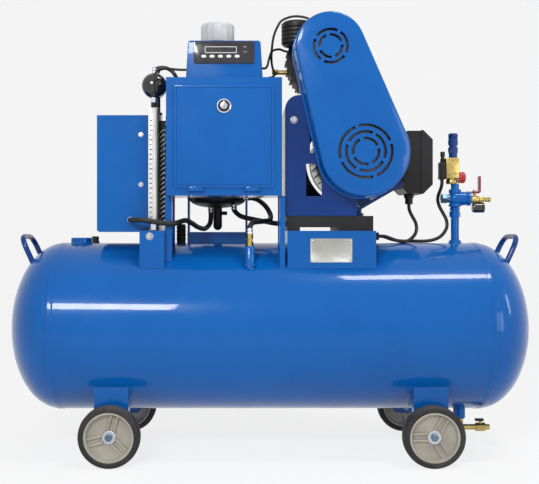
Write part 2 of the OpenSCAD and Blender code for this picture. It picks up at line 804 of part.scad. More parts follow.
module orbiting_scroll() {
    color(steel) translate([scroll_x + orbit_r, 0, scroll_z]) difference() {
        union() {
            translate([0, orbit_hub_y[0], 0]) along_y()
                cylinder(r = orbit_hub_r, h = orbit_hub_y[1] - orbit_hub_y[0] + over);
            translate([0, orbit_plate_y[0], 0]) along_y()
                cylinder(r = orbit_plate_r, h = orbit_plate_y[1] - orbit_plate_y[0]);
            extrude_y(orbit_plate_y[1] - over, fixed_base_y[0] - wrap_gap) wrap_outline();
        }
        translate([0, orbit_hub_y[0] - over, 0]) along_y()
            cylinder(r = pin_r + play, h = pin_end + gap - orbit_hub_y[0] + over);
    }
}

module fixed_scroll() {
    color(black) translate([scroll_x, 0, scroll_z]) {
        translate([0, housing_y[1], 0]) along_y()
            ring(scroll_r - fixed_wall, scroll_r - 2 * fixed_wall, fixed_base_y[0] - housing_y[1] + over);
        translate([0, fixed_base_y[0], 0]) along_y()
            cylinder(r = scroll_r - fixed_wall, h = fixed_base_y[1] - fixed_base_y[0]);
        extrude_y(orbit_plate_y[1] + wrap_gap, fixed_base_y[0] + over) rotate(180) wrap_outline();
        difference() {
            translate([0, fixed_base_y[1] - over, 0]) along_y()
                cylinder(r = scroll_r - fixed_wall, h = scroll_fin_h + over);
            for (x = [-scroll_r:scroll_fin_pitch:scroll_r])
                block([x, fixed_base_y[1], -scroll_r - over],
                    [x + scroll_fin_pitch - scroll_fin_t, fixed_base_y[1] + scroll_fin_h + over,
                        scroll_r + over]);
        }
        extrude_y(housing_y[1], fixed_base_y[1]) difference() {
            for (a = [0:rim_fin_step:359])
                rotate(a) translate([0, -scroll_fin_t / 2]) square([scroll_r, scroll_fin_t]);
            circle(r = scroll_r - fixed_wall - over / 2);
        }
    }
}

module intake_filter() {
    low = scroll_z + filter_low;
    color(black) {
        translate([filter_pos.x, filter_pos.y, low]) rotate_extrude()
            polygon(concat([[0, 0], [filter_r - filter_rib, 0], [filter_r, filter_rib]],
                [for (z = [2 * filter_rib:2 * filter_rib:filter_h - 3 * filter_rib])
                    each [[filter_r, z], [filter_r - filter_rib_deep, z + over], [filter_r, z + 2 * over]]],
                [[filter_r, filter_h - filter_rib], [filter_r - filter_rib, filter_h], [0, filter_h]]));
        difference() {
            translate([filter_pos.x, filter_pos.y, low + filter_h / 2]) along_y()
                cylinder(r = filter_neck_r, h = housing_y[1] - flange_t - filter_pos.y);
            translate([filter_pos.x, filter_pos.y, low]) cylinder(r = filter_r - filter_rib, h = filter_h);
        }
    }
}

// Control box with its door, lock, display head, panel and five buttons
box_left = -257;
box_front = -160;
box_lift = 118;
door_inset = 18;
door_skin_t = 3;
door_tray_deep = 10;
door_rebate = 6;
door_clear = 1;
lip_deep = 11;
hinge_off = 5;
hinge_r = 4.5;
hinge_pin_r = 2.5;
hinge_len = 30;
hinge_inset = 40;
lug_t = 4;
lock_drop = 71;
lock_ring_r = 18;
lock_ring_h = 4;
lock_r = 9;
lock_face_r = 13;
lock_face_h = 2;
cam_len = 60;
cam_w = 14;
cam_t = 3;
slot_w = 2;
box_bottom = tank_top + box_lift;
box_top = box_bottom + box_h;
box_right = box_left + box_w;
box_back = box_front + box_d;
door_l = box_left + door_inset;
door_r = box_right - door_inset;
door_b = box_bottom + door_inset;
door_t = box_top - door_inset;
hinge_y = box_front - hinge_off;
hinge_z = door_b - hinge_off;
lock_x = (door_l + door_r) / 2;
lock_z = box_top - lock_drop;
hinge_at = [door_l + hinge_inset, door_r - hinge_inset - hinge_len];

module control_box() {
    a = door_rebate;
    color(blue) difference() {
        union() {
            block([box_left, box_front, box_bottom], [box_right, box_back, box_top]);
            for (x = hinge_at, e = [-lug_t - gap, hinge_len + gap])
                translate([x + e, hinge_y, hinge_z]) {
                    along_x() cylinder(r = hinge_r, h = lug_t);
                    block([0, 0, -hinge_r], [lug_t, hinge_off + box_t, hinge_r]);
                }
        }
        block([box_left + box_t, box_front + box_t, box_bottom + box_t],
            [box_right - box_t, box_back - box_t, box_top - box_t]);
        block([door_l + a, box_front - over, door_b + a], [door_r - a, box_front + lip_deep, door_t - a]);
    }
    color(blue) difference() {
        block([door_l + a - box_t, box_front + box_t / 2, door_b + a - box_t],
            [door_r - a + box_t, box_front + lip_deep, door_t - a + box_t]);
        block([door_l + a, box_front - over, door_b + a],
            [door_r - a, box_front + lip_deep + over, door_t - a]);
    }
    color(steel) for (x = hinge_at)
        translate([x - lug_t, hinge_y, hinge_z]) along_x()
            cylinder(r = hinge_pin_r, h = hinge_len + 2 * lug_t);
}

module door() {
    b = door_rebate + door_clear;
    y0 = box_front - gap - door_skin_t;
    color(blue) difference() {
        union() {
            block([door_l, y0, door_b], [door_r, box_front - gap, door_t]);
            block([door_l + b, box_front - gap - door_skin_t / 2, door_b + b],
                [door_r - b, box_front - gap + door_tray_deep, door_t - b]);
            translate([lock_x, y0 - lock_ring_h, lock_z]) along_y()
                cylinder(r = lock_ring_r, h = lock_ring_h + over / 2);
            for (x = hinge_at) {
                translate([x, hinge_y, hinge_z]) along_x() cylinder(r = hinge_r, h = hinge_len);
                block([x, hinge_y, hinge_z], [x + hinge_len, box_front - gap, door_b + hinge_off]);
            }
        }
        block([door_l + b + box_t, box_front - gap, door_b + b + box_t],
            [door_r - b - box_t, box_front + door_tray_deep + over, door_t - b - box_t]);
        translate([lock_x, y0 - lock_ring_h - over, lock_z]) along_y()
            cylinder(r = lock_r + play, h = 2 * door_tray_deep);
        for (x = hinge_at)
            translate([x - over, hinge_y, hinge_z]) along_x()
                cylinder(r = hinge_pin_r + play, h = hinge_len + 2 * over);
    }
}

module door_lock() {
    face = box_front - gap - door_skin_t - lock_ring_h - gap;
    back = box_front + lip_deep + gap;
    color(steel) translate([lock_x, 0, lock_z]) {
        translate([0, face, 0]) along_y() cylinder(r = lock_r, h = back + cam_t - face);
        difference() {
            translate([0, face - lock_face_h, 0]) along_y() cylinder(r = lock_face_r, h = lock_face_h);
            block([-slot_w / 2, face - lock_face_h - over, -lock_r],
                [slot_w / 2, face - lock_face_h / 2, lock_r]);
        }
        block([0, back, -cam_w / 2], [cam_len, back + cam_t, cam_w / 2]);
    }
}

head_x = [-209, -20];
head_taper = 5;
head_y = [-150, -40];
head_h = 92;
head_t = 3;
head_chamfer = 6;
panel_x = [-189, -41];
panel_z = [35, 89];
panel_t = 4;
window_x = [-162, -84];
window_z = [60, 76];
window_deep = 1;
lamp_x = -63;
lamp_z = [63, 75];
lamp_d = 4;
lamp_h = 1;
button_x = [-165, -144.5, -124, -103.5, -83];
button_z = 52;
button_w = 12;
button_h = 7;
button_front = 1.5;
button_clear = 0.2;

module head_outline(t) {
    polygon([[head_x[0] + t, t], [head_x[0] + head_taper + t, head_h - head_chamfer - t],
        [head_x[0] + head_taper + head_chamfer + t, head_h - t],
        [head_x[1] - head_taper - head_chamfer - t, head_h - t],
        [head_x[1] - head_taper - t, head_h - head_chamfer - t], [head_x[1] - t, t]]);
}

module display_head() {
    color(blue) translate([0, 0, box_top]) difference() {
        extrude_y(head_y[0], head_y[1]) head_outline(0);
        extrude_y(head_y[0] + head_t, head_y[1] - head_t) head_outline(head_t);
    }
}

// Outline of a push button, grown by a clearance
module button_outline(grow) {
    r = button_h / 2 + grow;
    for (s = [-1, 1]) translate([s * (button_w - button_h) / 2, 0]) circle(r = r);
    translate([-(button_w - button_h) / 2, -r]) square([button_w - button_h, 2 * r]);
}

module display_panel() {
    y0 = head_y[0] - panel_t;
    color(black) translate([0, 0, box_top]) {
        difference() {
            block([panel_x[0], y0, panel_z[0]], [panel_x[1], head_y[0], panel_z[1]]);
            block([window_x[0], y0 - over, window_z[0]], [window_x[1], y0 + window_deep, window_z[1]]);
            for (x = button_x)
                extrude_y(y0 - over, head_y[0] + over) translate([x, button_z]) button_outline(button_clear);
        }
        for (z = lamp_z) translate([lamp_x, y0 - lamp_h, z]) along_y() cylinder(d = lamp_d, h = lamp_h);
    }
}

module button(i) {
    color(pale) translate([button_x[i], 0, box_top + button_z])
        extrude_y(head_y[0] - panel_t - button_front, head_y[0] - button_travel - gap) button_outline(0);
}
module button_1() { button(0); }
module button_2() { button(1); }
module button_3() { button(2); }
module button_4() { button(3); }
module button_5() { button(4); }

// Support frame: stand and shelf of the radiator, four posts of the box, rail and bars of the vessel
shelf_h = 32;
shelf_t = 3;
shelf_x = [-432, -262];
stand_x = [-323, -262];
post_left_x = [-262, -245];
post_right_x = [22, 35];
post_left_y = [[-130, -113], [-40, -23]];
post_right_y = [[-150, -133], [-40, -23]];
rail_y = [50, 100];
rail_h = 29;
vessel_pos = [-137, 75];
bar_t = 6;
bar_y = [60, 90];
bar_h = 152;
shelf_top = tank_top + shelf_h;
vessel_r = vessel_d / 2;

module support_frame() {
    low = tank_surface(saddle_back) - sheet_t;
    color(blue) difference() {
        union() {
            difference() {
                block([stand_x[0], saddle_front, low], [stand_x[1], saddle_back, shelf_top - shelf_t]);
                block([stand_x[0] + sheet_t, saddle_front + sheet_t, low - over],
                    [stand_x[1] - sheet_t, saddle_back - sheet_t, shelf_top - shelf_t - sheet_t]);
            }
            block([stand_x[0], saddle_front, shelf_top - shelf_t], [stand_x[1], saddle_back, shelf_top]);
            block([shelf_x[0], duct_y0, shelf_top - shelf_t], [shelf_x[1], duct_y0 + duct_depth, shelf_top]);
            for (y = post_left_y) block([post_left_x[0], y[0], low], [post_left_x[1], y[1], box_bottom]);
            for (y = post_right_y) block([post_right_x[0], y[0], low], [post_right_x[1], y[1], box_bottom]);
        }
        tank_space();
    }
    color(dark_blue) difference() {
        union() {
            block([vessel_pos.x - vessel_r - bar_t, rail_y[0], low],
                [vessel_pos.x + vessel_r + bar_t, rail_y[1], tank_top + rail_h]);
            for (s = [-1, 1])
                block([vessel_pos.x + s * (vessel_r + bar_t / 2) - bar_t / 2, bar_y[0], tank_top],
                    [vessel_pos.x + s * (vessel_r + bar_t / 2) + bar_t / 2, bar_y[1], tank_top + bar_h]);
        }
        tank_space();
    }
}

// Separator vessel with its cap and bottom valve
vessel_low = 94;
vessel_h = 446;
vessel_wall = 3;
dish_h = 22;
dish_steps = 8;
dome_h = 16;
mouth_r = 40;
cap_r = 46;
cap_h = 52;
cap_wall = 3;
neck_h = 20;
neck_wall = 5;
cap_ribs = 24;
cap_rib = 2;
valve_r = 12;
valve_h = 48;
valve_knob_r = 5;
valve_knob_len = 26;
valve_knob_drop = 14;

// Half outline of the vessel, set in by t from its outer face
function vessel_outline(t) = concat(
    [for (i = [0:dish_steps]) [(vessel_r - t) * sin(90 * i / dish_steps),
        t + dish_h - dish_h * cos(90 * i / dish_steps)]],
    [for (i = [0:dish_steps]) [mouth_r - t + (vessel_r - mouth_r) * cos(90 * i / dish_steps),
        vessel_h - dome_h - t + dome_h * sin(90 * i / dish_steps)]],
    [[0, vessel_h - t]]);

module place_vessel() { translate([vessel_pos.x, vessel_pos.y, tank_top + vessel_low]) children(); }

module separator_vessel() {
    color(dark_blue) place_vessel() difference() {
        union() {
            rotate_extrude() polygon(vessel_outline(0));
            translate([0, 0, vessel_h - vessel_wall]) cylinder(r = mouth_r - gap, h = neck_h + vessel_wall);
        }
        rotate_extrude() polygon(vessel_outline(vessel_wall));
        translate([0, 0, vessel_h - 2 * vessel_wall])
            cylinder(r = mouth_r - neck_wall, h = neck_h + 2 * vessel_wall + over);
    }
}

module separator_cap() {
    color(pale) place_vessel() translate([0, 0, vessel_h + gap]) difference() {
        union() {
            cylinder(r = cap_r - cap_rib, h = cap_h);
            linear_extrude(cap_h - cap_wall) for (i = [0:cap_ribs - 1])
                rotate(360 * i / cap_ribs) translate([0, -cap_rib / 2]) square([cap_r, cap_rib]);
        }
        translate([0, 0, -over]) cylinder(r = cap_r - cap_rib - cap_wall, h = cap_h - cap_wall + over);
    }
}

module separator_valve() {
    color(black) place_vessel() {
        translate([0, 0, -valve_h]) cylinder(r = valve_r, h = valve_h);
        translate([0, 0, -valve_h]) sphere(r = valve_r);
        translate([0, 0, -valve_knob_drop]) along_x() cylinder(r = valve_knob_r, h = valve_knob_len);
    }
}

// Radiator, fan duct, fan, level gauge and round pressure switch
duct_y0 = -100;
core_x = [-305, -263];
core_tank_h = 14;
core_rows = 17;
core_tube_h = 6;
core_side_t = 3;
duct_t = 2;
fan_z = 145;
fan_hole_r = 84;
duct_fan_r = 78;
duct_hub_r = 20;
duct_hub_len = 30;
duct_shaft_r = 4;
duct_motor_r = 28;
duct_motor_x = [36, 76];
duct_blades = 5;
duct_blade_w = 26;
duct_blade_t = 3;
duct_blade_pitch = 35;
wire_t = 3;
wire_r = [20, 40, 60];
strut_w = 8;
gauge_x = [-304, -277];
gauge_y = [-129, -115];
gauge_z = [24, 307];
gauge_nut_r = 7;
gauge_nut_top = 345;
gauge_foot_r = 8;
switch_pos = [-295, 371];
switch_y = [-88, -38];
switch_r = 32;
switch_dome = 14;
switch_steps = 6;
switch_neck_r = 8;
switch_neck_at = [-288, -58];
core_top = shelf_top + radiator_h + 2 * core_tank_h;
duct_x1 = core_x[0];
duct_x0 = duct_x1 - duct_len;
fan_at = [duct_y0 + duct_depth / 2, shelf_top + fan_z];

module radiator_core() {
    y1 = duct_y0 + duct_depth;
    pitch = radiator_h / core_rows;
    color(steel) {
        for (z = [shelf_top, core_top - core_tank_h])
            block([core_x[0], duct_y0, z], [core_x[1], y1, z + core_tank_h]);
        for (y = [duct_y0, y1 - core_side_t])
            block([core_x[0] + core_side_t, y, shelf_top + core_tank_h],
                [core_x[1] - core_side_t, y + core_side_t, core_top - core_tank_h]);
        for (i = [0:core_rows - 1])
            translate([0, 0, shelf_top + core_tank_h + (i + 0.5) * pitch])
                block([core_x[0], duct_y0 + core_side_t, -core_tube_h / 2],
                    [core_x[1], y1 - core_side_t, core_tube_h / 2]);
    }
}

module cooling_duct() {
    y1 = duct_y0 + duct_depth;
    color(blue) difference() {
        block([duct_x0, duct_y0, shelf_top], [duct_x1, y1, core_top]);
        block([duct_x0 + duct_t, duct_y0 + duct_t, shelf_top + duct_t],
            [duct_x1 + over, y1 - duct_t, core_top - duct_t]);
        translate([duct_x0 - over, fan_at[0], fan_at[1]]) along_x()
            cylinder(r = fan_hole_r, h = duct_t + 2 * over);
    }
    color(black) translate([duct_x0, fan_at[0], fan_at[1]]) {
        along_x() for (r = wire_r) ring(r, r - wire_t, wire_t);
        for (a = [0, 60, 120])
            rotate([a, 0, 0])
                block([0, -fan_hole_r - over, -wire_t / 2], [duct_t, fan_hole_r + over, wire_t / 2]);
        translate([duct_motor_x[0], 0, 0]) along_x()
            cylinder(r = duct_motor_r, h = duct_motor_x[1] - duct_motor_x[0]);
        translate([duct_motor_x[0], 0, 0]) along_x()
            cylinder(r = duct_shaft_r, h = duct_motor_x[1] - duct_motor_x[0] + duct_hub_len);
        block([duct_motor_x[0], duct_t - duct_depth / 2, -strut_w / 2],
            [duct_motor_x[0] + strut_w, duct_depth / 2 - duct_t, strut_w / 2]);
    }
}

module cooling_fan() {
    x0 = duct_x0 + duct_motor_x[1] + gap;
    color(black) translate([x0, fan_at[0], fan_at[1]]) difference() {
        union() {
            along_x() cylinder(r = duct_hub_r, h = duct_hub_len);
            for (i = [0:duct_blades - 1])
                rotate([360 * i / duct_blades, 0, 0]) translate([duct_hub_len / 2, 0, duct_hub_r - over])
                    rotate([0, 0, duct_blade_pitch])
                        block([-duct_blade_t / 2, -duct_blade_w / 2, 0],
                            [duct_blade_t / 2, duct_blade_w / 2, duct_fan_r - duct_hub_r + over]);
        }
        translate([-over, 0, 0]) along_x() cylinder(r = duct_shaft_r + play, h = duct_hub_len + 2 * over);
    }
}

module level_gauge() {
    x = (gauge_x[0] + gauge_x[1]) / 2;
    y = (gauge_y[0] + gauge_y[1]) / 2;
    color(pale) translate([0, 0, shelf_top]) {
        block([gauge_x[0], gauge_y[0], gauge_z[0]], [gauge_x[1], gauge_y[1], gauge_z[1]]);
        translate([x, y, gauge_z[1]]) cylinder(r = gauge_nut_r, h = gauge_nut_top - gauge_z[1]);
        translate([x, y, 0]) cylinder(r = gauge_foot_r, h = gauge_z[0]);
    }
}

module pressure_switch() {
    len_y = switch_y[1] - switch_y[0];
    color(black) {
        translate([switch_pos[0], switch_y[1], shelf_top + switch_pos[1]]) rotate([90, 0, 0]) rotate_extrude()
            polygon(concat([[0, 0], [switch_r, 0]],
                [for (i = [0:switch_steps]) [switch_r * cos(90 * i / switch_steps),
                    len_y - switch_dome + switch_dome * sin(90 * i / switch_steps)]]));
        difference() {
            translate([switch_neck_at.x, switch_neck_at.y, core_top])
                cylinder(r = switch_neck_r, h = shelf_top + switch_pos[1] - core_top);
            translate([switch_pos[0], switch_y[1] + over, shelf_top + switch_pos[1]]) rotate([90, 0, 0])
                cylinder(r = switch_r, h = len_y - switch_dome + 2 * over);
        }
    }
}

// Outlet group on the riser: cross, valve block, relief valve, ball valve with lever and gauges
riser_h = 155;
coupling_h = [68, 84];
coupling_r = 14;
cross_z = 117;
cross_r = 19;
cross_x1 = 529;
side_fit_x0 = 452;
side_fit_r = 14;
block_half = [17, 15];
block_x = 480;
block_h = 68;
red_x = 516;
red_r = 15;
red_z = 17;
relief_r = 12.5;
relief_h = 65;
relief_x = 484;
relief_pin_r = 5;
relief_pin_deep = 20;
switch_block_x = 447;
switch_block_half = 12;
switch_block_z = [12, 57];
knob_r = 6;
knob_h = 28;
valve_z = 114;
valve_x1 = 560;
valve_body_r = 10;
nipple_x1 = 583;
lever_x = 541;
stem_r = 5;
stem_h = 16;
lever_w = 14;
lever_t = 4;
lever_back = 8.5;
lever_reach = 15;
lever_h = 45;
gauge_r = 13.5;
gauge_z0 = 93;
gauge_x0 = 534;
gauge_x1 = 565;

module riser_pipe() {
    color(dark_blue) translate([riser_pos.x, riser_pos.y, tank_top + riser_foot_h])
        cylinder(d = riser_d, h = riser_h - riser_foot_h);
    color(dark_blue) translate([riser_pos.x, riser_pos.y, tank_top + coupling_h[0]])
        cylinder(r = coupling_r, h = coupling_h[1] - coupling_h[0], $fn = 6);
    color(blue) translate([riser_pos.x, riser_pos.y, tank_top + cross_z]) along_x()
        cylinder(r = cross_r, h = cross_x1 - riser_pos.x);
    color(blue) translate([riser_pos.x, riser_pos.y, tank_top + cross_z]) sphere(r = cross_r);
    color(steel) translate([side_fit_x0, riser_pos.y, tank_top + cross_z]) along_x()
        cylinder(r = side_fit_r, h = riser_pos.x - side_fit_x0);
}

module valve_block() {
    z0 = tank_top + riser_h;
    color(brass) difference() {
        block([block_x - block_half[0], -block_half[1], z0],
            [block_x + block_half[0], block_half[1], z0 + block_h]);
        translate([relief_x, 0, z0 + block_h - relief_pin_deep])
            cylinder(r = relief_pin_r + play, h = relief_pin_deep + over);
    }
    color(red) translate([block_x + block_half[0], 0, z0 + red_z]) along_x()
        cylinder(r = red_r, h = red_x - block_x - block_half[0]);
}

module relief_valve() {
    z0 = tank_top + riser_h + block_h;
    color(blue) translate([relief_x, 0, z0 + gap]) {
        cylinder(r = relief_r, h = relief_h);
        translate([0, 0, gap - relief_pin_deep]) cylinder(r = relief_pin_r, h = relief_pin_deep);
    }
}

module outlet_valve() {
    z = tank_top + valve_z;
    color(brass) difference() {
        union() {
            translate([cross_x1, 0, z]) along_x() cylinder(r = valve_body_r, h = valve_x1 - cross_x1);
            translate([cross_x1, 0, z]) along_x() cylinder(d = nipple_d, h = nipple_x1 - cross_x1);
            translate([lever_x, 0, z]) cylinder(r = stem_r, h = stem_h);
        }
        translate([valve_x1 - valve_body_r, 0, z]) along_x()
            cylinder(d = outlet_bore_d, h = nipple_x1 - valve_x1 + valve_body_r + over);
    }
}

module outlet_lever() {
    z = tank_top + valve_z + stem_h + gap;
    color(red) translate([lever_x, 0, z]) {
        block([-lever_back, -lever_w / 2, 0], [lever_reach, lever_w / 2, lever_t]);
        block([lever_reach - lever_t, -lever_w / 2, 0], [lever_reach, lever_w / 2, lever_h]);
    }
}

module outlet_gauges() {
    z0 = tank_top + riser_h;
    x1 = block_x - block_half[0];
    color(black) {
        block([switch_block_x, -switch_block_half, z0 + switch_block_z[0]],
            [x1, switch_block_half, z0 + switch_block_z[1]]);
        translate([x1 - knob_r - gap, 0, z0 + switch_block_z[1]]) cylinder(r = knob_r, h = knob_h);
        difference() {
            union() {
                translate([gauge_x0, 0, tank_top + gauge_z0]) along_x()
                    cylinder(r = gauge_r, h = gauge_x1 - gauge_x0);
                translate([lever_x, 0, tank_top + gauge_z0]) cylinder(r = stem_r, h = valve_z - gauge_z0);
            }
            translate([cross_x1 - over, 0, tank_top + valve_z]) along_x()
                cylinder(r = valve_body_r, h = valve_x1 - cross_x1 + 2 * over);
        }
    }
}

// Drain: elbow, pipe, valve and lever under the receiver
drain_z = 68;
elbow_r = 10;
drain_pipe_r = 7;
drain_valve_x = [527, 551];
drain_valve_r = 11;
drain_end_x = 562;
drain_lever_x = 539;
drain_stem_r = 3.5;
drain_stem_h = 15;
drain_lever_len = [13, 8];
drain_lever_w = 9;
drain_lever_h = 6;

module drain_valve() {
    color(brass) difference() {
        union() {
            translate([drain_pos.x, drain_pos.y, drain_z])
                cylinder(r = elbow_r, h = tank_clear - drain_socket_h + tank_wall - drain_z);
            translate([drain_pos.x, drain_pos.y, drain_z]) sphere(r = elbow_r);
            translate([drain_pos.x, drain_pos.y, drain_z]) along_x()
                cylinder(r = drain_pipe_r, h = drain_end_x - drain_pos.x);
            translate([drain_valve_x[0], drain_pos.y, drain_z]) along_x()
                cylinder(r = drain_valve_r, h = drain_valve_x[1] - drain_valve_x[0], $fn = 6);
            translate([drain_lever_x, drain_pos.y, drain_z]) cylinder(r = drain_stem_r, h = drain_stem_h);
        }
        translate([drain_valve_x[1] - drain_valve_r, drain_pos.y, drain_z]) along_x()
            cylinder(d = outlet_bore_d, h = drain_end_x - drain_valve_x[1] + drain_valve_r + over);
    }
}

module drain_lever() {
    color(black) translate([drain_lever_x, drain_pos.y, drain_z + drain_stem_h + gap])
        block([-drain_lever_len[0], -drain_lever_w / 2, 0],
            [drain_lever_len[1], drain_lever_w / 2, drain_lever_h]);
}

// Hoses, capillaries and their fittings, held at both ends
hose_r = 6.5;
thin_r = 3;
fill_r = 5;
feed_hose = [[-350, -100, 597], [-350, -108, 597], [-350, -116, 597], [-345, -128, 597], [-332, -140, 597],
    [-308, -147, 596], [-272, -147, 590], [-240, -136, 588], [-214, -100, 596], [-200, -60, 590],
    [-186, -20, 580], [-170, 20, 576], [-158, 47, 588], [-155, 55, 604], [-155, 57, 618], [-155, 57, 625],
    [-155, 57, 632.4]];
return_hose = [[-52, -140, 563], [-52, -140, 570], [-52, -139, 577], [-44, -129, 590], [-18, -95, 594],
    [0, -52, 598], [3, -20, 612], [-8, 6, 634], [-26, 31, 651], [-42, 44, 657.5], [-53.6, 47.8, 658],
    [-65, 51.5, 658]];
bridge_hose = [[-92, 30, 639.4], [-92, 30, 632], [-91, 29, 624], [-74, 14, 609], [-40, -2, 600],
    [-8, -8, 594], [14, -6, 590], [26, -6, 589], [35, -6, 589], [43, -6, 589]];
gauge_pipe = [[-290.5, -122, 915], [-290.5, -122, 925], [-290.5, -122, 940], [-289, -121, 958],
    [-280, -114, 972], [-268, -106, 977], [-256, -98, 978]];
switch_pipe = [[-284, -66, 972.2], [-283, -67, 977], [-276, -75, 981], [-256, -98, 978], [-240, -100, 976],
    [-225, -100, 975], [-215, -100, 975], [-207.8, -100, 975]];
switch_hose = [[-295, -58, 973.3], [-295, -58, 976], [-295, -58, 979], [-286, -58, 987], [-266, -60, 987],
    [-250, -62, 978], [-239, -64, 962], [-238, -64, 954], [-238, -64, 950], [-238, -64, 946]];
guard_cable = [[114, -130, 1082], [114, -125, 1082], [114, -120, 1082], [111, -114, 1087], [102, -111, 1097],
    [84, -110, 1105], [56, -108, 1107], [30, -106, 1098], [18, -104, 1082], [9, -98, 1060], [5, -90, 1035],
    [4, -70, 1008], [8, -36, 992], [14, -10, 985]];
flange_cable = [[47.5, -27, 1035.4], [42.6, -27, 1036.6], [37.8, -27, 1037.8], [24, -36, 1040],
    [6, -58, 1030], [-2, -74, 1008], [-6, -86, 990], [-10, -91, 982],
    [-13, -92, 980], [-17, -92, 980], [-21.5, -92, 980]];
box_tube = [[16, -10, 980], [8, -20, 971], [-3, -33, 966], [-6, -36, 958], [-6, -36, 952], [-6, -36, 946]];
probe_x = [8, 48];
probe_y = -8;
probe_z = -27;
probe_r = 7;
check_r = 8;
check_h = 31;
strainer_pos = [-234, 45];
strainer_r = 12;
strainer_h = 50;
strainer_fin = 2;
strainer_step = 10;

module hoses() {
    color(black) {
        tube(feed_hose, hose_r, 3, 10, [-1, 0, 1]);
        tube(return_hose, hose_r);
        tube(bridge_hose, hose_r);
        tube(gauge_pipe, thin_r, 2, 8);
        tube(switch_pipe, thin_r, 2, 8, [0, 0, 1]);
        tube(switch_hose, fill_r, 2, 8);
        tube(guard_cable, thin_r, 3, 8, [0, 0, 1]);
        tube(flange_cable, thin_r, 3, 8, [0, 0, 1]);
        tube(box_tube, thin_r, 2, 8);
        translate([strainer_pos.x, strainer_pos.y, 0]) difference() {
            union() {
                translate([0, 0, tank_z]) cylinder(r = strainer_r, h = tank_r + strainer_h);
                for (z = [strainer_step:strainer_step:strainer_h - strainer_step])
                    translate([0, 0, tank_top + z]) cylinder(r = strainer_r + strainer_fin, h = strainer_fin);
            }
            translate([-strainer_pos.x, -strainer_pos.y, 0]) tank_space();
        }
    }
    color(brass) {
        translate([stub_pos.x, stub_pos.y, tank_surface(stub_pos.y) + stub_h])
            cylinder(r = check_r, h = check_h, $fn = 6);
        difference() {
            translate([probe_x[0], probe_y, scroll_z + probe_z]) along_x()
                cylinder(r = probe_r, h = probe_x[1] - probe_x[0] + probe_r);
            translate([scroll_x, housing_y[1], scroll_z]) along_y()
                cylinder(r = scroll_r + gap, h = scroll_r);
        }
    }
}

// Free cables: each runs from a gland or block down to the receiver and back into the saddle
motor_cable_path = [[368, 0, 640], [368, 0, 637], [368, 0, 634], [369, -1, 625], [373, -2, 615],
    [378, -3, 605], [383, -4, 596], [386, -6, 586], [386.5, -8, 575], [383, -10, 563], [376, -12, 553.5],
    [366.5, -14, 546], [355, -16, 542.5], [343, -17, 542.5], [329, -19, 546],
    [315, -20, 551], [304, -20, 555], [296, -20, 556], [290, -20, 556], [285, -20, 556]];
valve_cable_path = [[455, 0, 705], [455, 0, 702], [455, 0, 699], [455, 1, 693], [454, 5, 684], [452, 13, 674],
    [450, 21, 663], [450, 26, 650], [455, 27, 634], [463, 22, 617], [470, 16, 600], [471, 12, 583],
    [464, 10, 567], [451, 8, 554], [432, 8, 546], [410, 9, 543], [382, 12, 543], [354, 16, 543],
    [332, 19, 546], [316, 20, 551], [304, 20, 555], [296, 20, 556], [290, 20, 556], [285, 20, 556]];

module motor_cable() { color(black) tube(motor_cable_path, cable_d / 2, 2, 8); }
module valve_cable() { color(black) tube(valve_cable_path, cable_d / 2, 2, 8); }

tank_shell();
tank_heads();
tank_fittings();
wheel_brackets();
axle_bolts();
hub_front_left();
hub_front_right();
hub_rear_left();
hub_rear_right();
tyre_front_left();
tyre_front_right();
tyre_rear_left();
tyre_rear_right();
motor_saddle();
cushion_bridge();
pedestal();
motor_plate();
motor_frame();
motor_fan_cover();
motor_rotor();
terminal_box();
cable_glands();
guard_back_plate();
belt_guard();
drive_belts();
bearing_housing();
crankshaft();
orbiting_scroll();
fixed_scroll();
intake_filter();
control_box();
door();
door_lock();
display_head();
display_panel();
button_1();
button_2();
button_3();
button_4();
button_5();
support_frame();
separator_vessel();
separator_cap();
separator_valve();
radiator_core();
cooling_duct();
cooling_fan();
level_gauge();
pressure_switch();
riser_pipe();
valve_block();
relief_valve();
outlet_valve();
outlet_lever();
outlet_gauges();
drain_valve();
drain_lever();
hoses();
motor_cable();
valve_cable();
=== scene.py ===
# %% [markdown]
# This lesson dresses a scroll air compressor: a belt driven machine on a wheeled receiver.
# The imported construction comes first, because every piece made later takes its place from it.

# %% Load the construction
import json
import math
import bmesh
import bpy
from mathutils import Matrix, Vector


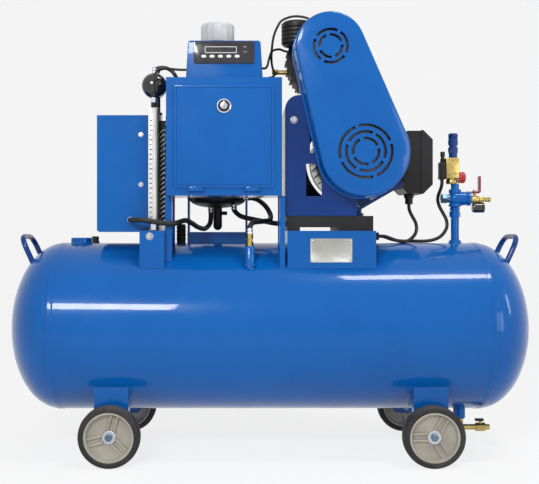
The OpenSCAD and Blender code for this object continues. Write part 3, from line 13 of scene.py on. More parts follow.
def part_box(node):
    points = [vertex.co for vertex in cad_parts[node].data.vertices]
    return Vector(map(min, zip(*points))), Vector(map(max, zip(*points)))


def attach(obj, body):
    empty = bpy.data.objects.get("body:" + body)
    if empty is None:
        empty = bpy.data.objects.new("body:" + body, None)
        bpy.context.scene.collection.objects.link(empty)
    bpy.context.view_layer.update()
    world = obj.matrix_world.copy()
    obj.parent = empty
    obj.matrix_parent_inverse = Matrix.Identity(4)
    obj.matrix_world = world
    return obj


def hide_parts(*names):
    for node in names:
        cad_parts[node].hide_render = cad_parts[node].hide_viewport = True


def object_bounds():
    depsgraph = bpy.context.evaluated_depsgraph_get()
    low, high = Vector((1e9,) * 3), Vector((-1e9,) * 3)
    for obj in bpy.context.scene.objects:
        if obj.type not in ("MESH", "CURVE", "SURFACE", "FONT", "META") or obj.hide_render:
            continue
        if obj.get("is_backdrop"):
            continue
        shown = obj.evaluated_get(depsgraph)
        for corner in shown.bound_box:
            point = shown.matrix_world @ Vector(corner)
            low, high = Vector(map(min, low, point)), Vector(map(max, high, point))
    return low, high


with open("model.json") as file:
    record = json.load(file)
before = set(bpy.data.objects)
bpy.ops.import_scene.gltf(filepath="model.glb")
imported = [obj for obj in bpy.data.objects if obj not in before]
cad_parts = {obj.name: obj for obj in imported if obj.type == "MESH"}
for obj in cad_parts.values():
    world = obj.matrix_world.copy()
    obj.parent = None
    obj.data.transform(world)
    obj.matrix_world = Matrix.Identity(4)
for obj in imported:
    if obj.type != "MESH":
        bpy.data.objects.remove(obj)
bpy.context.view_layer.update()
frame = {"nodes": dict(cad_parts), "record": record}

# %% [markdown]
# The camera stands in front of the machine, a little left of its middle and level with the receiver's top.
# A lens that looks straight ahead keeps upright edges upright. The picture's middle lies beside the optical
# axis, so the sensor is shifted instead of turning the camera, which would make the uprights converge.

# %% Camera
IMAGE_W = 539
IMAGE_H = 484
FOCAL_PX = 864
AXIS_PX = (242, 232)
SENSOR_W = 36
CAMERA_AT = (-0.071, -2.273, 0.567)

camera_data = bpy.data.cameras.new("camera")
camera_data.sensor_width = SENSOR_W
camera_data.lens = SENSOR_W * FOCAL_PX / IMAGE_W
camera_data.shift_x = (IMAGE_W / 2 - AXIS_PX[0]) / IMAGE_W
camera_data.shift_y = (AXIS_PX[1] - IMAGE_H / 2) / IMAGE_W
camera = bpy.data.objects.new("camera", camera_data)
camera.location = CAMERA_AT
camera.rotation_euler = (math.radians(90), 0, 0)
bpy.context.scene.collection.objects.link(camera)
bpy.context.scene.camera = camera
bpy.context.scene.view_settings.view_transform = "Standard"
print("lens", round(camera_data.lens, 2), "mm")

# %% [markdown]
# Most pieces are built in bmesh from a few shapes. The first is the turned profile, because tank, tyres
# and fittings are all round. A screw modifier could turn it too, but code that places the vertices itself
# gives the same mesh each time. Edges sharper than a set angle stay crisp and the rest is smooth.

# %% Pieces and turned profiles
MM = 0.001
TINY = 1e-7
SHARP_DEG = 38


def make_piece(name, bm, material, body="root", replaces=()):
    """Turns a bmesh into a named piece with its finish, which rides on a body."""
    bmesh.ops.recalc_face_normals(bm, faces=bm.faces)
    mesh = bpy.data.meshes.new(name)
    bm.to_mesh(mesh)
    bm.free()
    mesh.shade_smooth()
    mesh.set_sharp_from_angle(angle=math.radians(SHARP_DEG))
    mesh.materials.append(material)
    piece = bpy.data.objects.new(name, mesh)
    bpy.context.scene.collection.objects.link(piece)
    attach(piece, body)
    if replaces:
        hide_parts(*replaces)
    return piece


def mm(rows):
    """Rows of a profile that are written in millimetres."""
    return [tuple(v * MM for v in row) for row in rows]


def turned(axis):
    """Rotation that takes Z to the given axis."""
    return Vector(axis).to_track_quat("Z", "Y").to_matrix()


def lathe(bm, profile, at, axis=(0, 0, 1), steps=48, closed=False):
    """Turns a profile of (radius, height) pairs about an axis through a point."""
    turn = turned(axis)
    at = Vector(at)
    rings = []
    for r, h in profile:
        count = 1 if r < TINY else steps
        ring = []
        for i in range(count):
            a = 2 * math.pi * i / steps
            ring.append(bm.verts.new(at + turn @ Vector((r * math.cos(a), r * math.sin(a), h))))
        rings.append(ring)
    pairs = list(zip(rings, rings[1:]))
    if closed:
        pairs.append((rings[-1], rings[0]))
    for a, b in pairs:
        for i in range(steps):
            j = (i + 1) % steps
            corners = [a[i % len(a)], a[j % len(a)], b[j % len(b)], b[i % len(b)]]
            loop = [v for n, v in enumerate(corners) if v not in corners[:n]]
            if len(loop) > 2:
                bm.faces.new(loop)


print("turned profiles ready")

# %% [markdown]
# Blocks, bolt heads and tubes are the other shapes. A block's edges are rounded by a bevel of its mesh, a
# bolt head is a profile turned in six steps, and a tube is a ring of vertices carried along a path. Forms
# that are rings in a row share one helper, which skins them and closes both ends.

# %% Blocks, bolt heads and tubes
def skin(bm, rings):
    """Joins rings of equal length by faces and closes both ends."""
    for a, b in zip(rings, rings[1:]):
        for i in range(len(a)):
            j = (i + 1) % len(a)
            bm.faces.new([a[i], a[j], b[j], b[i]])
    bm.faces.new(rings[0])
    bm.faces.new(list(reversed(rings[-1])))


def block(bm, low, high, edge=1 * MM, segments=2):
    """A box from one corner to the other, with rounded edges."""
    low, high = Vector(low), Vector(high)
    verts = bmesh.ops.create_cube(bm, size=1)["verts"]
    for v in verts:
        v.co = Vector([low[k] + (v.co[k] + 0.5) * (high[k] - low[k]) for k in range(3)])
    edges = list(dict.fromkeys(e for v in verts for e in v.link_edges))
    bmesh.ops.bevel(bm, geom=edges, offset=edge, segments=segments, profile=0.5, affect="EDGES")


def hexagon(bm, at, axis, across, height, washer=0.0):
    """A chamfered hexagon head, on a washer of the given radius if there is one."""
    r = across / math.sqrt(3)
    chamfer = 0.12 * r
    lift = 0.0
    if washer:
        lift = 0.18 * height
        rim = [(washer, 0), (washer, lift * 0.7), (washer - lift * 0.3, lift)]
        lathe(bm, [(0, 0), *rim, (0, lift)], at, axis, 24)
    lathe(bm, [(0, lift), (r, lift), (r, lift + height - chamfer), (r - chamfer, lift + height),
               (0, lift + height)], at, axis, 6)


def smooth_path(points, steps):
    """Points on a smooth curve through the given ones."""
    p = [Vector(q) for q in points]
    out = []
    for i in range(len(p) - 1):
        a, b, c, d = p[max(i - 1, 0)], p[i], p[i + 1], p[min(i + 2, len(p) - 1)]
        for s in range(steps):
            t = s / steps
            out.append(0.5 * (2 * b + (c - a) * t + (2 * a - 5 * b + 4 * c - d) * t * t
                              + (3 * b - a - 3 * c + d) * t ** 3))
    return out + [p[-1]]


def sweep(bm, path, radius, sides=16):
    """A round tube with closed ends, carried along a path without twisting."""
    rings = []
    side = None
    for i, p in enumerate(path):
        along = (path[min(i + 1, len(path) - 1)] - path[max(i - 1, 0)]).normalized()
        if side is None:
            side = along.orthogonal().normalized()
        side = (side - along * side.dot(along)).normalized()
        up = along.cross(side)
        ring = []
        for k in range(sides):
            a = 2 * math.pi * k / sides
            ring.append(bm.verts.new(p + radius * (math.cos(a) * side + math.sin(a) * up)))
        rings.append(ring)
    for a, b in zip(rings, rings[1:]):
        for k in range(sides):
            m = (k + 1) % sides
            bm.faces.new([a[k], a[m], b[m], b[k]])
    bm.faces.new(list(reversed(rings[0])))
    bm.faces.new(rings[-1])


print("blocks, bolt heads and tubes ready")

# %% [markdown]
# Several finishes share the same effects, so each effect is a node group with its own inputs. A change in
# the group then reaches every material that uses it. Textures read object coordinates, because every
# piece is modelled where it stands, in metres.

# %% Node group helpers
def new_group(name, inputs, outputs):
    """A node group with number inputs and the given outputs."""
    tree = bpy.data.node_groups.new(name, "ShaderNodeTree")
    for socket, value in inputs:
        number = tree.interface.new_socket(socket, in_out="INPUT", socket_type="NodeSocketFloat")
        number.default_value = value
    for socket, kind in outputs:
        tree.interface.new_socket(socket, in_out="OUTPUT", socket_type=kind)
    return tree, tree.nodes.new("NodeGroupInput"), tree.nodes.new("NodeGroupOutput")


def link(tree, a, b):
    tree.links.new(a, b)


def add_noise(tree, scale, detail=4.0):
    """Noise on object coordinates. Scale is a number or a socket."""
    coords = tree.nodes.new("ShaderNodeTexCoord")
    noise = tree.nodes.new("ShaderNodeTexNoise")
    noise.inputs["Detail"].default_value = detail
    link(tree, coords.outputs["Object"], noise.inputs["Vector"])
    if isinstance(scale, (int, float)):
        noise.inputs["Scale"].default_value = scale
    else:
        link(tree, scale, noise.inputs["Scale"])
    return noise.outputs["Fac"]


print("node group helpers ready")

# %% [markdown]
# Patches give a mask of slow noise. Formed normal rounds the edges of sheet and castings in the shading
# and adds a fine grain. Edge mask finds those edges for wear, and settled dust finds faces that look up.
# Noise breaks up wear and dust, because neither lies evenly on a real machine.

# %% Shared shader effects
EDGE_SAMPLES = 4
WEAR_NOISE = 60.0
DUST_NOISE = 14.0
DUST_SLOPE = (0.55, 1.0)


def make_patches():
    tree, start, end = new_group("patches", [("Scale", 6.0), ("Low", 0.42), ("High", 0.62)],
                                 [("Mask", "NodeSocketFloat")])
    ramp = tree.nodes.new("ShaderNodeMapRange")
    ramp.interpolation_type = "SMOOTHSTEP"
    link(tree, add_noise(tree, start.outputs["Scale"]), ramp.inputs["Value"])
    link(tree, start.outputs["Low"], ramp.inputs["From Min"])
    link(tree, start.outputs["High"], ramp.inputs["From Max"])
    link(tree, ramp.outputs["Result"], end.inputs["Mask"])
    return tree


def make_formed_normal():
    tree, start, end = new_group("formed_normal", [("Edge", 0.001), ("Grain Scale", 600.0), ("Grain", 0.1),
                                                   ("Depth", 0.0002)], [("Normal", "NodeSocketVector")])
    bevel = tree.nodes.new("ShaderNodeBevel")
    bevel.samples = EDGE_SAMPLES
    bump = tree.nodes.new("ShaderNodeBump")
    link(tree, start.outputs["Edge"], bevel.inputs["Radius"])
    link(tree, add_noise(tree, start.outputs["Grain Scale"], 2.0), bump.inputs["Height"])
    link(tree, start.outputs["Grain"], bump.inputs["Strength"])
    link(tree, start.outputs["Depth"], bump.inputs["Distance"])
    link(tree, bevel.outputs["Normal"], bump.inputs["Normal"])
    link(tree, bump.outputs["Normal"], end.inputs["Normal"])
    return tree


def make_edge_mask():
    tree, start, end = new_group("edge_mask", [("Edge", 0.002), ("Gain", 4.0)],
                                 [("Mask", "NodeSocketFloat")])
    bevel = tree.nodes.new("ShaderNodeBevel")
    bevel.samples = EDGE_SAMPLES
    geometry = tree.nodes.new("ShaderNodeNewGeometry")
    dot = tree.nodes.new("ShaderNodeVectorMath")
    dot.operation = "DOT_PRODUCT"
    off = tree.nodes.new("ShaderNodeMath")
    off.operation = "SUBTRACT"
    off.inputs[0].default_value = 1.0
    gain = tree.nodes.new("ShaderNodeMath")
    gain.operation = "MULTIPLY"
    gain.use_clamp = True
    broken = tree.nodes.new("ShaderNodeMath")
    broken.operation = "MULTIPLY"
    link(tree, start.outputs["Edge"], bevel.inputs["Radius"])
    link(tree, bevel.outputs["Normal"], dot.inputs[0])
    link(tree, geometry.outputs["Normal"], dot.inputs[1])
    link(tree, dot.outputs["Value"], off.inputs[1])
    link(tree, off.outputs[0], gain.inputs[0])
    link(tree, start.outputs["Gain"], gain.inputs[1])
    link(tree, gain.outputs[0], broken.inputs[0])
    link(tree, add_noise(tree, WEAR_NOISE), broken.inputs[1])
    link(tree, broken.outputs[0], end.inputs["Mask"])
    return tree


def make_settled_dust():
    tree, start, end = new_group("settled_dust", [("Amount", 0.2)], [("Mask", "NodeSocketFloat")])
    geometry = tree.nodes.new("ShaderNodeNewGeometry")
    split = tree.nodes.new("ShaderNodeSeparateXYZ")
    ramp = tree.nodes.new("ShaderNodeMapRange")
    ramp.inputs["From Min"].default_value = DUST_SLOPE[0]
    ramp.inputs["From Max"].default_value = DUST_SLOPE[1]
    amount = tree.nodes.new("ShaderNodeMath")
    amount.operation = "MULTIPLY"
    broken = tree.nodes.new("ShaderNodeMath")
    broken.operation = "MULTIPLY"
    link(tree, geometry.outputs["Normal"], split.inputs[0])
    link(tree, split.outputs["Z"], ramp.inputs["Value"])
    link(tree, ramp.outputs["Result"], amount.inputs[0])
    link(tree, start.outputs["Amount"], amount.inputs[1])
    link(tree, amount.outputs[0], broken.inputs[0])
    link(tree, add_noise(tree, DUST_NOISE), broken.inputs[1])
    link(tree, broken.outputs[0], end.inputs["Mask"])
    return tree


EFFECTS = {"patches": make_patches(), "formed_normal": make_formed_normal(),
           "edge_mask": make_edge_mask(), "settled_dust": make_settled_dust()}
print("shared effects:", ", ".join(EFFECTS))

# %% [markdown]
# Every finish starts from the same plan: two close tones in slow patches, a little dust on top, worn edges
# where it is painted, a roughness that wanders and a normal with rounded edges and grain. With one plan the
# paint, metal and rubber of the machine look alike in age, and a finish gives only its colours and depths.

# %% Plan of a finish
DUST_COLOUR = (0.55, 0.53, 0.50)
WEAR_REACH = 1.6
FINE_PATCH = 7


def effect(tree, name, **values):
    node = tree.nodes.new("ShaderNodeGroup")
    node.node_tree = EFFECTS[name]
    for socket, value in values.items():
        node.inputs[socket.replace("_", " ")].default_value = value
    return node.outputs[0]


def mix_colour(tree, factor, a, b):
    """Mixes two colours, given as sockets or as linear values."""
    mix = tree.nodes.new("ShaderNodeMix")
    mix.data_type = "RGBA"
    link(tree, factor, mix.inputs["Factor"])
    for socket, value in ((mix.inputs[6], a), (mix.inputs[7], b)):
        if isinstance(value, tuple):
            socket.default_value = (*value, 1.0)
        else:
            link(tree, value, socket)
    return mix.outputs[2]


def plan(name, colour, tone, rough, patch=5.0, edge=1.0, grain=(500.0, 0.08, 0.2), dust=0.12, wear=None):
    """A material with the shared effects. Edge and grain depth are in millimetres."""
    material = bpy.data.materials.new(name)
    material.use_nodes = True
    tree = material.node_tree
    shader = tree.nodes["Principled BSDF"]
    base = mix_colour(tree, effect(tree, "patches", Scale=patch), colour, tone)
    base = mix_colour(tree, effect(tree, "settled_dust", Amount=dust), base, DUST_COLOUR)
    if wear:
        base = mix_colour(tree, effect(tree, "edge_mask", Edge=WEAR_REACH * edge * MM), base, wear)
    link(tree, base, shader.inputs["Base Color"])
    spread = tree.nodes.new("ShaderNodeMapRange")
    spread.inputs["To Min"].default_value = rough[0]
    spread.inputs["To Max"].default_value = rough[1]
    link(tree, effect(tree, "patches", Scale=FINE_PATCH * patch, Low=0.3, High=0.7), spread.inputs["Value"])
    link(tree, spread.outputs["Result"], shader.inputs["Roughness"])
    normal = effect(tree, "formed_normal", Edge=edge * MM, Grain_Scale=grain[0], Grain=grain[1],
                    Depth=grain[2] * MM)
    link(tree, normal, shader.inputs["Normal"])
    return material, shader


print("a finish is planned from", len(EFFECTS), "effects")

# %% [markdown]
# Each family of finish sets what is the same all over its surface on the shader's own sockets: the coat of
# enamel, the metal of plating, the low gloss of rubber and the light that passes through the water cap.

# %% Families of finish
def gloss_enamel(name, colour, tone):
    """Thick glossy enamel, with the faint orange peel of a spray gun."""
    worn = tuple(0.6 * c + 0.03 for c in colour)
    material, shader = plan(name, colour, tone, (0.18, 0.28), patch=3.0, edge=1.6,
                            grain=(260.0, 0.05, 0.25), dust=0.02, wear=worn)
    shader.inputs["Specular IOR Level"].default_value = 0.10
    shader.inputs["Coat Weight"].default_value = 0.38
    shader.inputs["Coat Roughness"].default_value = 0.04
    return material


def satin_black(name, shade, rough, grain, edge=1.0):
    """Black paint, moulded plastic or a painted casting, told apart by grain and roughness."""
    colour = (shade, shade, shade * 1.05)
    tone = (shade * 1.6, shade * 1.6, shade * 1.7)
    material, shader = plan(name, colour, tone, rough, patch=9.0, edge=edge, grain=grain, dust=0.05,
                            wear=(0.06, 0.06, 0.064))
    shader.inputs["Specular IOR Level"].default_value = 0.25
    return material


def bare_metal(name, colour, tone, rough, grain=(900.0, 0.12, 0.1), edge=0.5):
    """Machined or plated metal with fine tool marks."""
    material, shader = plan(name, colour, tone, rough, patch=18.0, edge=edge, grain=grain, dust=0.05)
    shader.inputs["Metallic"].default_value = 1.0
    return material


def rubber_skin(name, colour, tone, rough, grain=(1400.0, 0.2, 0.2)):
    """Tyre tread, cable sheath and hose: dull, with a chalky bloom in patches."""
    material, shader = plan(name, colour, tone, rough, patch=12.0, edge=0.4, grain=grain, dust=0.22)
    shader.inputs["Specular IOR Level"].default_value = 0.35
    return material


def moulded(name, colour, tone, rough, coat=0.0, edge=0.5):
    """Moulded plastic with a fine spark texture."""
    material, shader = plan(name, colour, tone, rough, patch=14.0, edge=edge, grain=(1100.0, 0.10, 0.1),
                            dust=0.08)
    shader.inputs["Coat Weight"].default_value = coat
    return material


def clear_coated(name, colour, tone, rough, coat, **detail):
    """Dark film, lens or moulding with a polish of its own."""
    material, shader = plan(name, colour, tone, rough, **detail)
    shader.inputs["Coat Weight"].default_value = coat
    return material


def clear_cap():
    """Frosted polymer of the water cap: some light passes through its wall."""
    material, shader = plan("frosted_cap", (0.80, 0.81, 0.82), (0.72, 0.74, 0.76), (0.28, 0.42), patch=20.0,
                            edge=0.6, grain=(500.0, 0.06, 0.1), dust=0.04)
    shader.inputs["Transmission Weight"].default_value = 0.25
    shader.inputs["IOR"].default_value = 1.49
    return material


print("families: enamel, satin black, bare metal, rubber, moulding, coated film, clear cap")

# %% [markdown]
# The machine has two enamels, three blacks, six metals, two rubbers and five plastics. Their colours are
# linear values, judged in the render. The second tone of each is close to the first, so that the
# patches show as a breath of unevenness and not as a pattern.

# %% Finishes of the machine
FINISH = {
    "blue": gloss_enamel("blue_enamel", (0.000, 0.106, 0.405), (0.000, 0.096, 0.375)),
    # The navy enamel is a darker copy of the blue. On the pedestal and the parts behind the guard it is
    # painted shade; the handles and the relief sleeve use it too.
    "navy_and_shade": gloss_enamel("navy_and_shaded_blue_enamel", (0.002, 0.040, 0.215), (0.002, 0.032, 0.180)),
    "black_paint": satin_black("black_satin_paint", 0.012, (0.38, 0.55), (300.0, 0.10, 0.25)),
    "casting": satin_black("black_casting", 0.014, (0.45, 0.65), (420.0, 0.45, 0.5), edge=1.5),
    "black_plastic": satin_black("black_moulding", 0.010, (0.34, 0.50), (900.0, 0.20, 0.15)),
    "aluminium": bare_metal("bare_aluminium", (0.62, 0.63, 0.64), (0.52, 0.53, 0.55), (0.30, 0.48)),
    "steel": bare_metal("zinc_plate", (0.60, 0.62, 0.66), (0.50, 0.52, 0.58), (0.18, 0.34)),
    "chrome": bare_metal("bright_chrome", (0.82, 0.83, 0.84), (0.76, 0.77, 0.79), (0.05, 0.12),
                         (900.0, 0.02, 0.05)),
    # This dark turned steel is painted shade: it darkens the pulleys and shafts inside the belt guard.
    "steel_in_painted_shade": bare_metal("turned_steel_in_painted_shade", (0.10, 0.10, 0.11), (0.07, 0.07, 0.08), (0.22, 0.40)),
    "blue_zinc": bare_metal("blue_zinc_plate", (0.16, 0.23, 0.31), (0.11, 0.17, 0.24), (0.20, 0.34)),
    "brass": bare_metal("machined_brass", (0.50, 0.38, 0.13), (0.40, 0.30, 0.11), (0.24, 0.42)),
    "tyre": rubber_skin("grey_black_tyre", (0.022, 0.020, 0.020), (0.034, 0.032, 0.031), (0.62, 0.80)),
    "rubber": rubber_skin("cable_rubber", (0.011, 0.011, 0.012), (0.018, 0.018, 0.019), (0.36, 0.52)),
    "hub": moulded("greige_hub", (0.400, 0.372, 0.310), (0.340, 0.315, 0.262), (0.40, 0.58)),
    "pale": moulded("pale_moulding", (0.78, 0.78, 0.76), (0.70, 0.70, 0.68), (0.22, 0.36), coat=0.3),
    "red": moulded("dark_red_grip", (0.230, 0.004, 0.020), (0.170, 0.003, 0.015), (0.30, 0.45), coat=0.2),
    "signal_red": moulded("signal_red_knob", (0.480, 0.010, 0.012), (0.400, 0.008, 0.010), (0.28, 0.42),
                          coat=0.2),
    "cap": clear_cap(),
}
print(len(FINISH), "finishes")

# %% [markdown]
# The construction's own nodes get these finishes by the record's material slots. A node whose form is
# right stays as it is, with only a better surface. Those that need more form are replaced further down.

# %% Finish of the construction
# The record's dark blue slot gets the navy: a darker copy of the blue enamel, painted shade on the pedestal
# and the parts behind the guard.
SLOT_FINISH = {"blue_paint": "blue", "dark_blue_paint": "navy_and_shade", "black_paint": "black_paint",
               "black_casting": "casting", "bare_aluminium": "aluminium", "black_plastic": "black_plastic",
               "tyre_rubber": "tyre", "hub_plastic": "hub", "steel": "steel", "black_rubber": "rubber",
               "brass": "brass", "red_paint": "red", "pale_plastic": "pale"}
for part in frame["record"]["subparts"]:
    node = frame["nodes"][part["node"]]
    for holder in node.material_slots:
        holder.material = FINISH[SLOT_FINISH[part["material_slot"]]]
frame["nodes"]["separator_cap"].material_slots[0].material = FINISH["cap"]
# Rotor and crankshaft, with their pulleys inside the guard, get the dark steel that paints the guard's
# inner shade.
for word in ("motor_rotor", "crankshaft"):
    for holder in frame["nodes"][word].material_slots:
        holder.material = FINISH["steel_in_painted_shade"]
print(len(frame["nodes"]), "nodes painted")

# %% [markdown]
# Two cables hang free: one from the motor's terminal box, one from the pressure switch on the outlet.
# Both are 9 mm rubber lead, stiff enough to hold a wide curve. Each drops to the receiver's top, lies on it
# and runs back into a gland on the saddle. The points repeat the route that the construction fixes.

# %% Cables
CABLE_R = 4.5 * MM
CABLE_STEPS = 6
MOTOR_ROUTE = [(368, 0, 640), (368, 0, 637), (368, 0, 634), (369, -1, 625), (373, -2, 615), (378, -3, 605),
               (383, -4, 596), (386, -6, 586), (386.5, -8, 575), (383, -10, 563), (376, -12, 553.5),
               (366.5, -14, 546), (355, -16, 542.5), (343, -17, 542.5), (329, -19, 546), (315, -20, 551),
               (304, -20, 555), (296, -20, 556), (290, -20, 556), (285, -20, 556)]
VALVE_ROUTE = [(455, 0, 705), (455, 0, 702), (455, 0, 699), (455, 1, 693), (454, 5, 684),
               (452, 13, 674), (450, 21, 663), (450, 26, 650), (455, 27, 634), (463, 22, 617),
               (470, 16, 600), (471, 12, 583), (464, 10, 567), (451, 8, 554), (432, 8, 546),
               (410, 9, 543), (382, 12, 543), (354, 16, 543), (332, 19, 546), (316, 20, 551),
               (304, 20, 555), (296, 20, 556), (290, 20, 556), (285, 20, 556)]


def make_cable(name, route, node):
    path = smooth_path([Vector(p) * MM for p in route], CABLE_STEPS)
    bm = bmesh.new()
    sweep(bm, path, CABLE_R)
    cable = make_piece(name, bm, FINISH["rubber"], replaces=[node])


make_cable("motor_lead", MOTOR_ROUTE, "motor_cable")
make_cable("valve_lead", VALVE_ROUTE, "valve_cable")

# %% [markdown]
# Pressed covers, doors and plates are all one kind of form: an outline that changes size through the depth.
# Lofting rows of the same outline gives the folded edge, the groove and the flat in one closed mesh.
# A bevel modifier would round the edges too, but rows keep control of each fold.

# %% Lofted plates
def rounded_rect(x0, x1, z0, z1, r, steps=5):
    """Outline of a rectangle with round corners, which can be drawn smaller by an inset."""
    def outline(inset):
        k = max(r - inset, 0.2 * MM)
        points = []
        for cx, cz, a0 in ((x1 - inset - k, z1 - inset - k, 0), (x0 + inset + k, z1 - inset - k, 90),
                           (x0 + inset + k, z0 + inset + k, 180), (x1 - inset - k, z0 + inset + k, 270)):
            for i in range(steps + 1):
                a = math.radians(a0 + 90 * i / steps)
                points.append((cx + k * math.cos(a), cz + k * math.sin(a)))
        return points
    return outline


def loft(bm, outline, rows):
    """A closed solid through outlines in X and Z. Rows are (inset, y) pairs from end cap to end cap."""
    skin(bm, [[bm.verts.new((x, y, z)) for x, z in outline(inset)] for inset, y in rows])


def fold_rows(back, front, edge, steps=3):
    """Rows of a plate from its back to a front with a rounded edge."""
    rows = [(0.0, back), (0.0, front + edge)]
    for i in range(1, steps + 1):
        a = math.pi / 2 * i / steps
        rows.append((edge - edge * math.cos(a), front + edge - edge * math.sin(a)))
    return rows


print("lofted plates ready")

# %% [markdown]
# The receiver is a rolled shell with a dished head welded on each end. The construction gives its size.
# Turning the profile anew gives an even surface for the long highlight, and room for the weld: two
# low ridges side by side, as a welder leaves who runs two passes over the seam. A row of vertices close to
# each weld keeps its slope out of the shell's shading, so the highlight runs straight.

# %% Receiver
WELD_HALF = 9 * MM
WELD_H = 1.4 * MM
SHELL_WALL = 5 * MM
HEAD_FLANGE = 3 * MM
SEAM_IN = 3 * MM
WELD_CLEAR = 2 * MM
RECEIVER_STEPS = 160
HEAD_ROWS = 28

heads_low, heads_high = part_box("tank_heads")
TANK_R = (heads_high.z - heads_low.z) / 2
TANK_Z = (heads_high.z + heads_low.z) / 2
TANK_TOP = heads_high.z
TANK_END = heads_high.x
SEAM_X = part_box("tank_shell")[1].x - SEAM_IN


def weld_rows(x, side):
    """Profile of a double weld about x, written outwards."""
    shape = ((-1.0, 0.0), (-0.65, 1.0), (0.0, 0.25), (0.65, 1.0), (1.0, 0.0))
    return [(TANK_R + WELD_H * up, side * (x + WELD_HALF * along)) for along, up in shape]


bm = bmesh.new()
plain = SEAM_X - WELD_HALF - WELD_CLEAR
sheet = [(TANK_R, -plain), (TANK_R, 0.0), (TANK_R, plain)]
inside = [(TANK_R - SHELL_WALL, SEAM_X), (TANK_R - SHELL_WALL, -SEAM_X)]
lathe(bm, weld_rows(SEAM_X, -1)[::-1] + sheet + weld_rows(SEAM_X, 1) + inside,
      (0, 0, TANK_Z), (1, 0, 0), RECEIVER_STEPS, closed=True)
make_piece("receiver_shell", bm, FINISH["blue"], replaces=["tank_shell"])


def head_profile(grow):
    """Quarter of an ellipse from the seam to the axis, grown by an amount."""
    dish = TANK_END - SEAM_X - HEAD_FLANGE
    rows = []
    for i in range(HEAD_ROWS):
        a = math.pi / 2 * i / HEAD_ROWS
        rows.append(((TANK_R + grow) * math.cos(a), HEAD_FLANGE + (dish + grow) * math.sin(a)))
    return rows + [(0.0, HEAD_FLANGE + (dish + grow))]


for side, word in ((-1, "left"), (1, "right")):
    bm = bmesh.new()
    outside = [(TANK_R, 0.0)] + head_profile(0.0)
    inside = head_profile(-SHELL_WALL)[::-1] + [(TANK_R - SHELL_WALL, 0.0)]
    lathe(bm, outside + inside, (side * SEAM_X, 0, TANK_Z), (side, 0, 0), RECEIVER_STEPS, closed=True)
    make_piece(f"receiver_head_{word}", bm, FINISH["blue"], replaces=["tank_heads"])
print("receiver radius", round(TANK_R, 3), "m, seams at", round(SEAM_X, 3), "m")

# %% [markdown]
# At each end of the receiver stands a carry handle, one rod bent twice. It is swept along a line whose
# corners are rounded. A curve object with a round bevel would do too, but the swept tube is already a mesh
# like the other pieces.

# %% Carry handles
HANDLE_R = 7 * MM
HANDLE_BEND = 38 * MM
HANDLE_X = TANK_END - 28 * MM
HANDLE_TOP = TANK_TOP + 17 * MM
HANDLE_HALF = 60 * MM
HANDLE_IN = 32 * MM
HANDLE_DROP = 70 * MM
BEND_STEPS = 8


def round_corners(points, bend):
    """Replaces each inner corner of a line by a soft bend."""
    p = [Vector(q) for q in points]
    out = [p[0]]
    for a, b, c in zip(p, p[1:], p[2:]):
        start = b + (a - b).normalized() * min(bend, (a - b).length * 0.49)
        end = b + (c - b).normalized() * min(bend, (c - b).length * 0.49)
        for i in range(BEND_STEPS + 1):
            t = i / BEND_STEPS
            out.append((1 - t) ** 2 * start + 2 * t * (1 - t) * b + t * t * end)
    return out + [p[-1]]


for side, word in ((-1, "left"), (1, "right")):
    bm = bmesh.new()
    x, foot_x = side * HANDLE_X, side * (HANDLE_X - HANDLE_IN)
    line = [(foot_x, -HANDLE_HALF, HANDLE_TOP - HANDLE_DROP), (x, -HANDLE_HALF, HANDLE_TOP),
            (x, HANDLE_HALF, HANDLE_TOP), (foot_x, HANDLE_HALF, HANDLE_TOP - HANDLE_DROP)]
    sweep(bm, round_corners(line, HANDLE_BEND), HANDLE_R)
    make_piece(f"carry_handle_{word}", bm, FINISH["navy_and_shade"], replaces=["tank_fittings"])
print("handles stand", round(HANDLE_X, 3), "m from the middle")

# %% [markdown]
# Fittings are welded into the receiver: a spare socket with a thread, the drain socket below, a stub for
# the non-return valve and the riser's foot, with a fillet of weld round three of them, and a black plug
# beside the spare socket. All but the plug share one enamel, so they are turned into one mesh.

# %% Sockets, stub and plug
SOCKET = (-492 * MM, 0.0)
SOCKET_R = 28 * MM
SOCKET_BORE_R = 16.5 * MM
SOCKET_DEEP = 11 * MM
SOCKET_RISE = 14 * MM
SOCKET_TURNS = 3
THREAD_PITCH = 3 * MM
THREAD_H = 1 * MM
FOOT_DEEP = 20 * MM
DRAIN = (485 * MM, -60 * MM)
DRAIN_DROP = 17 * MM
DRAIN_ROWS = mm([(0, 0), (13, 0), (15, 2), (15, 80), (0, 80)])
STUB = (-52 * MM, -140 * MM)
STUB_R = 12.5 * MM
STUB_DEEP = 60 * MM
STUB_H = 45.8 * MM
RISER = (489 * MM, 0.0)
RISER_FOOT_R = 15.5 * MM
RISER_FOOT_ROWS = mm([(0, -20), (15.5, -20), (15.5, 6), (13.5, 8), (0, 8)])
PLUG = (-467 * MM, 60 * MM)
PLUG_TOP = 13 * MM
PLUG_ROWS = mm([(0, -20), (12, -20), (12, 11), (10, 13), (0, 13)])
FILLET_ROWS = ((-0.5, -1), (1, -1), (0.8, -0.2), (0.2, 0.7), (-0.5, 1))


def weld_fillet(bm, at, r, size=4 * MM):
    """A ring of weld round a foot."""
    lathe(bm, [(r + size * out, size * up) for out, up in FILLET_ROWS], at, steps=32, closed=True)


def tank_height(y):
    return TANK_Z + math.sqrt(TANK_R * TANK_R - y * y)


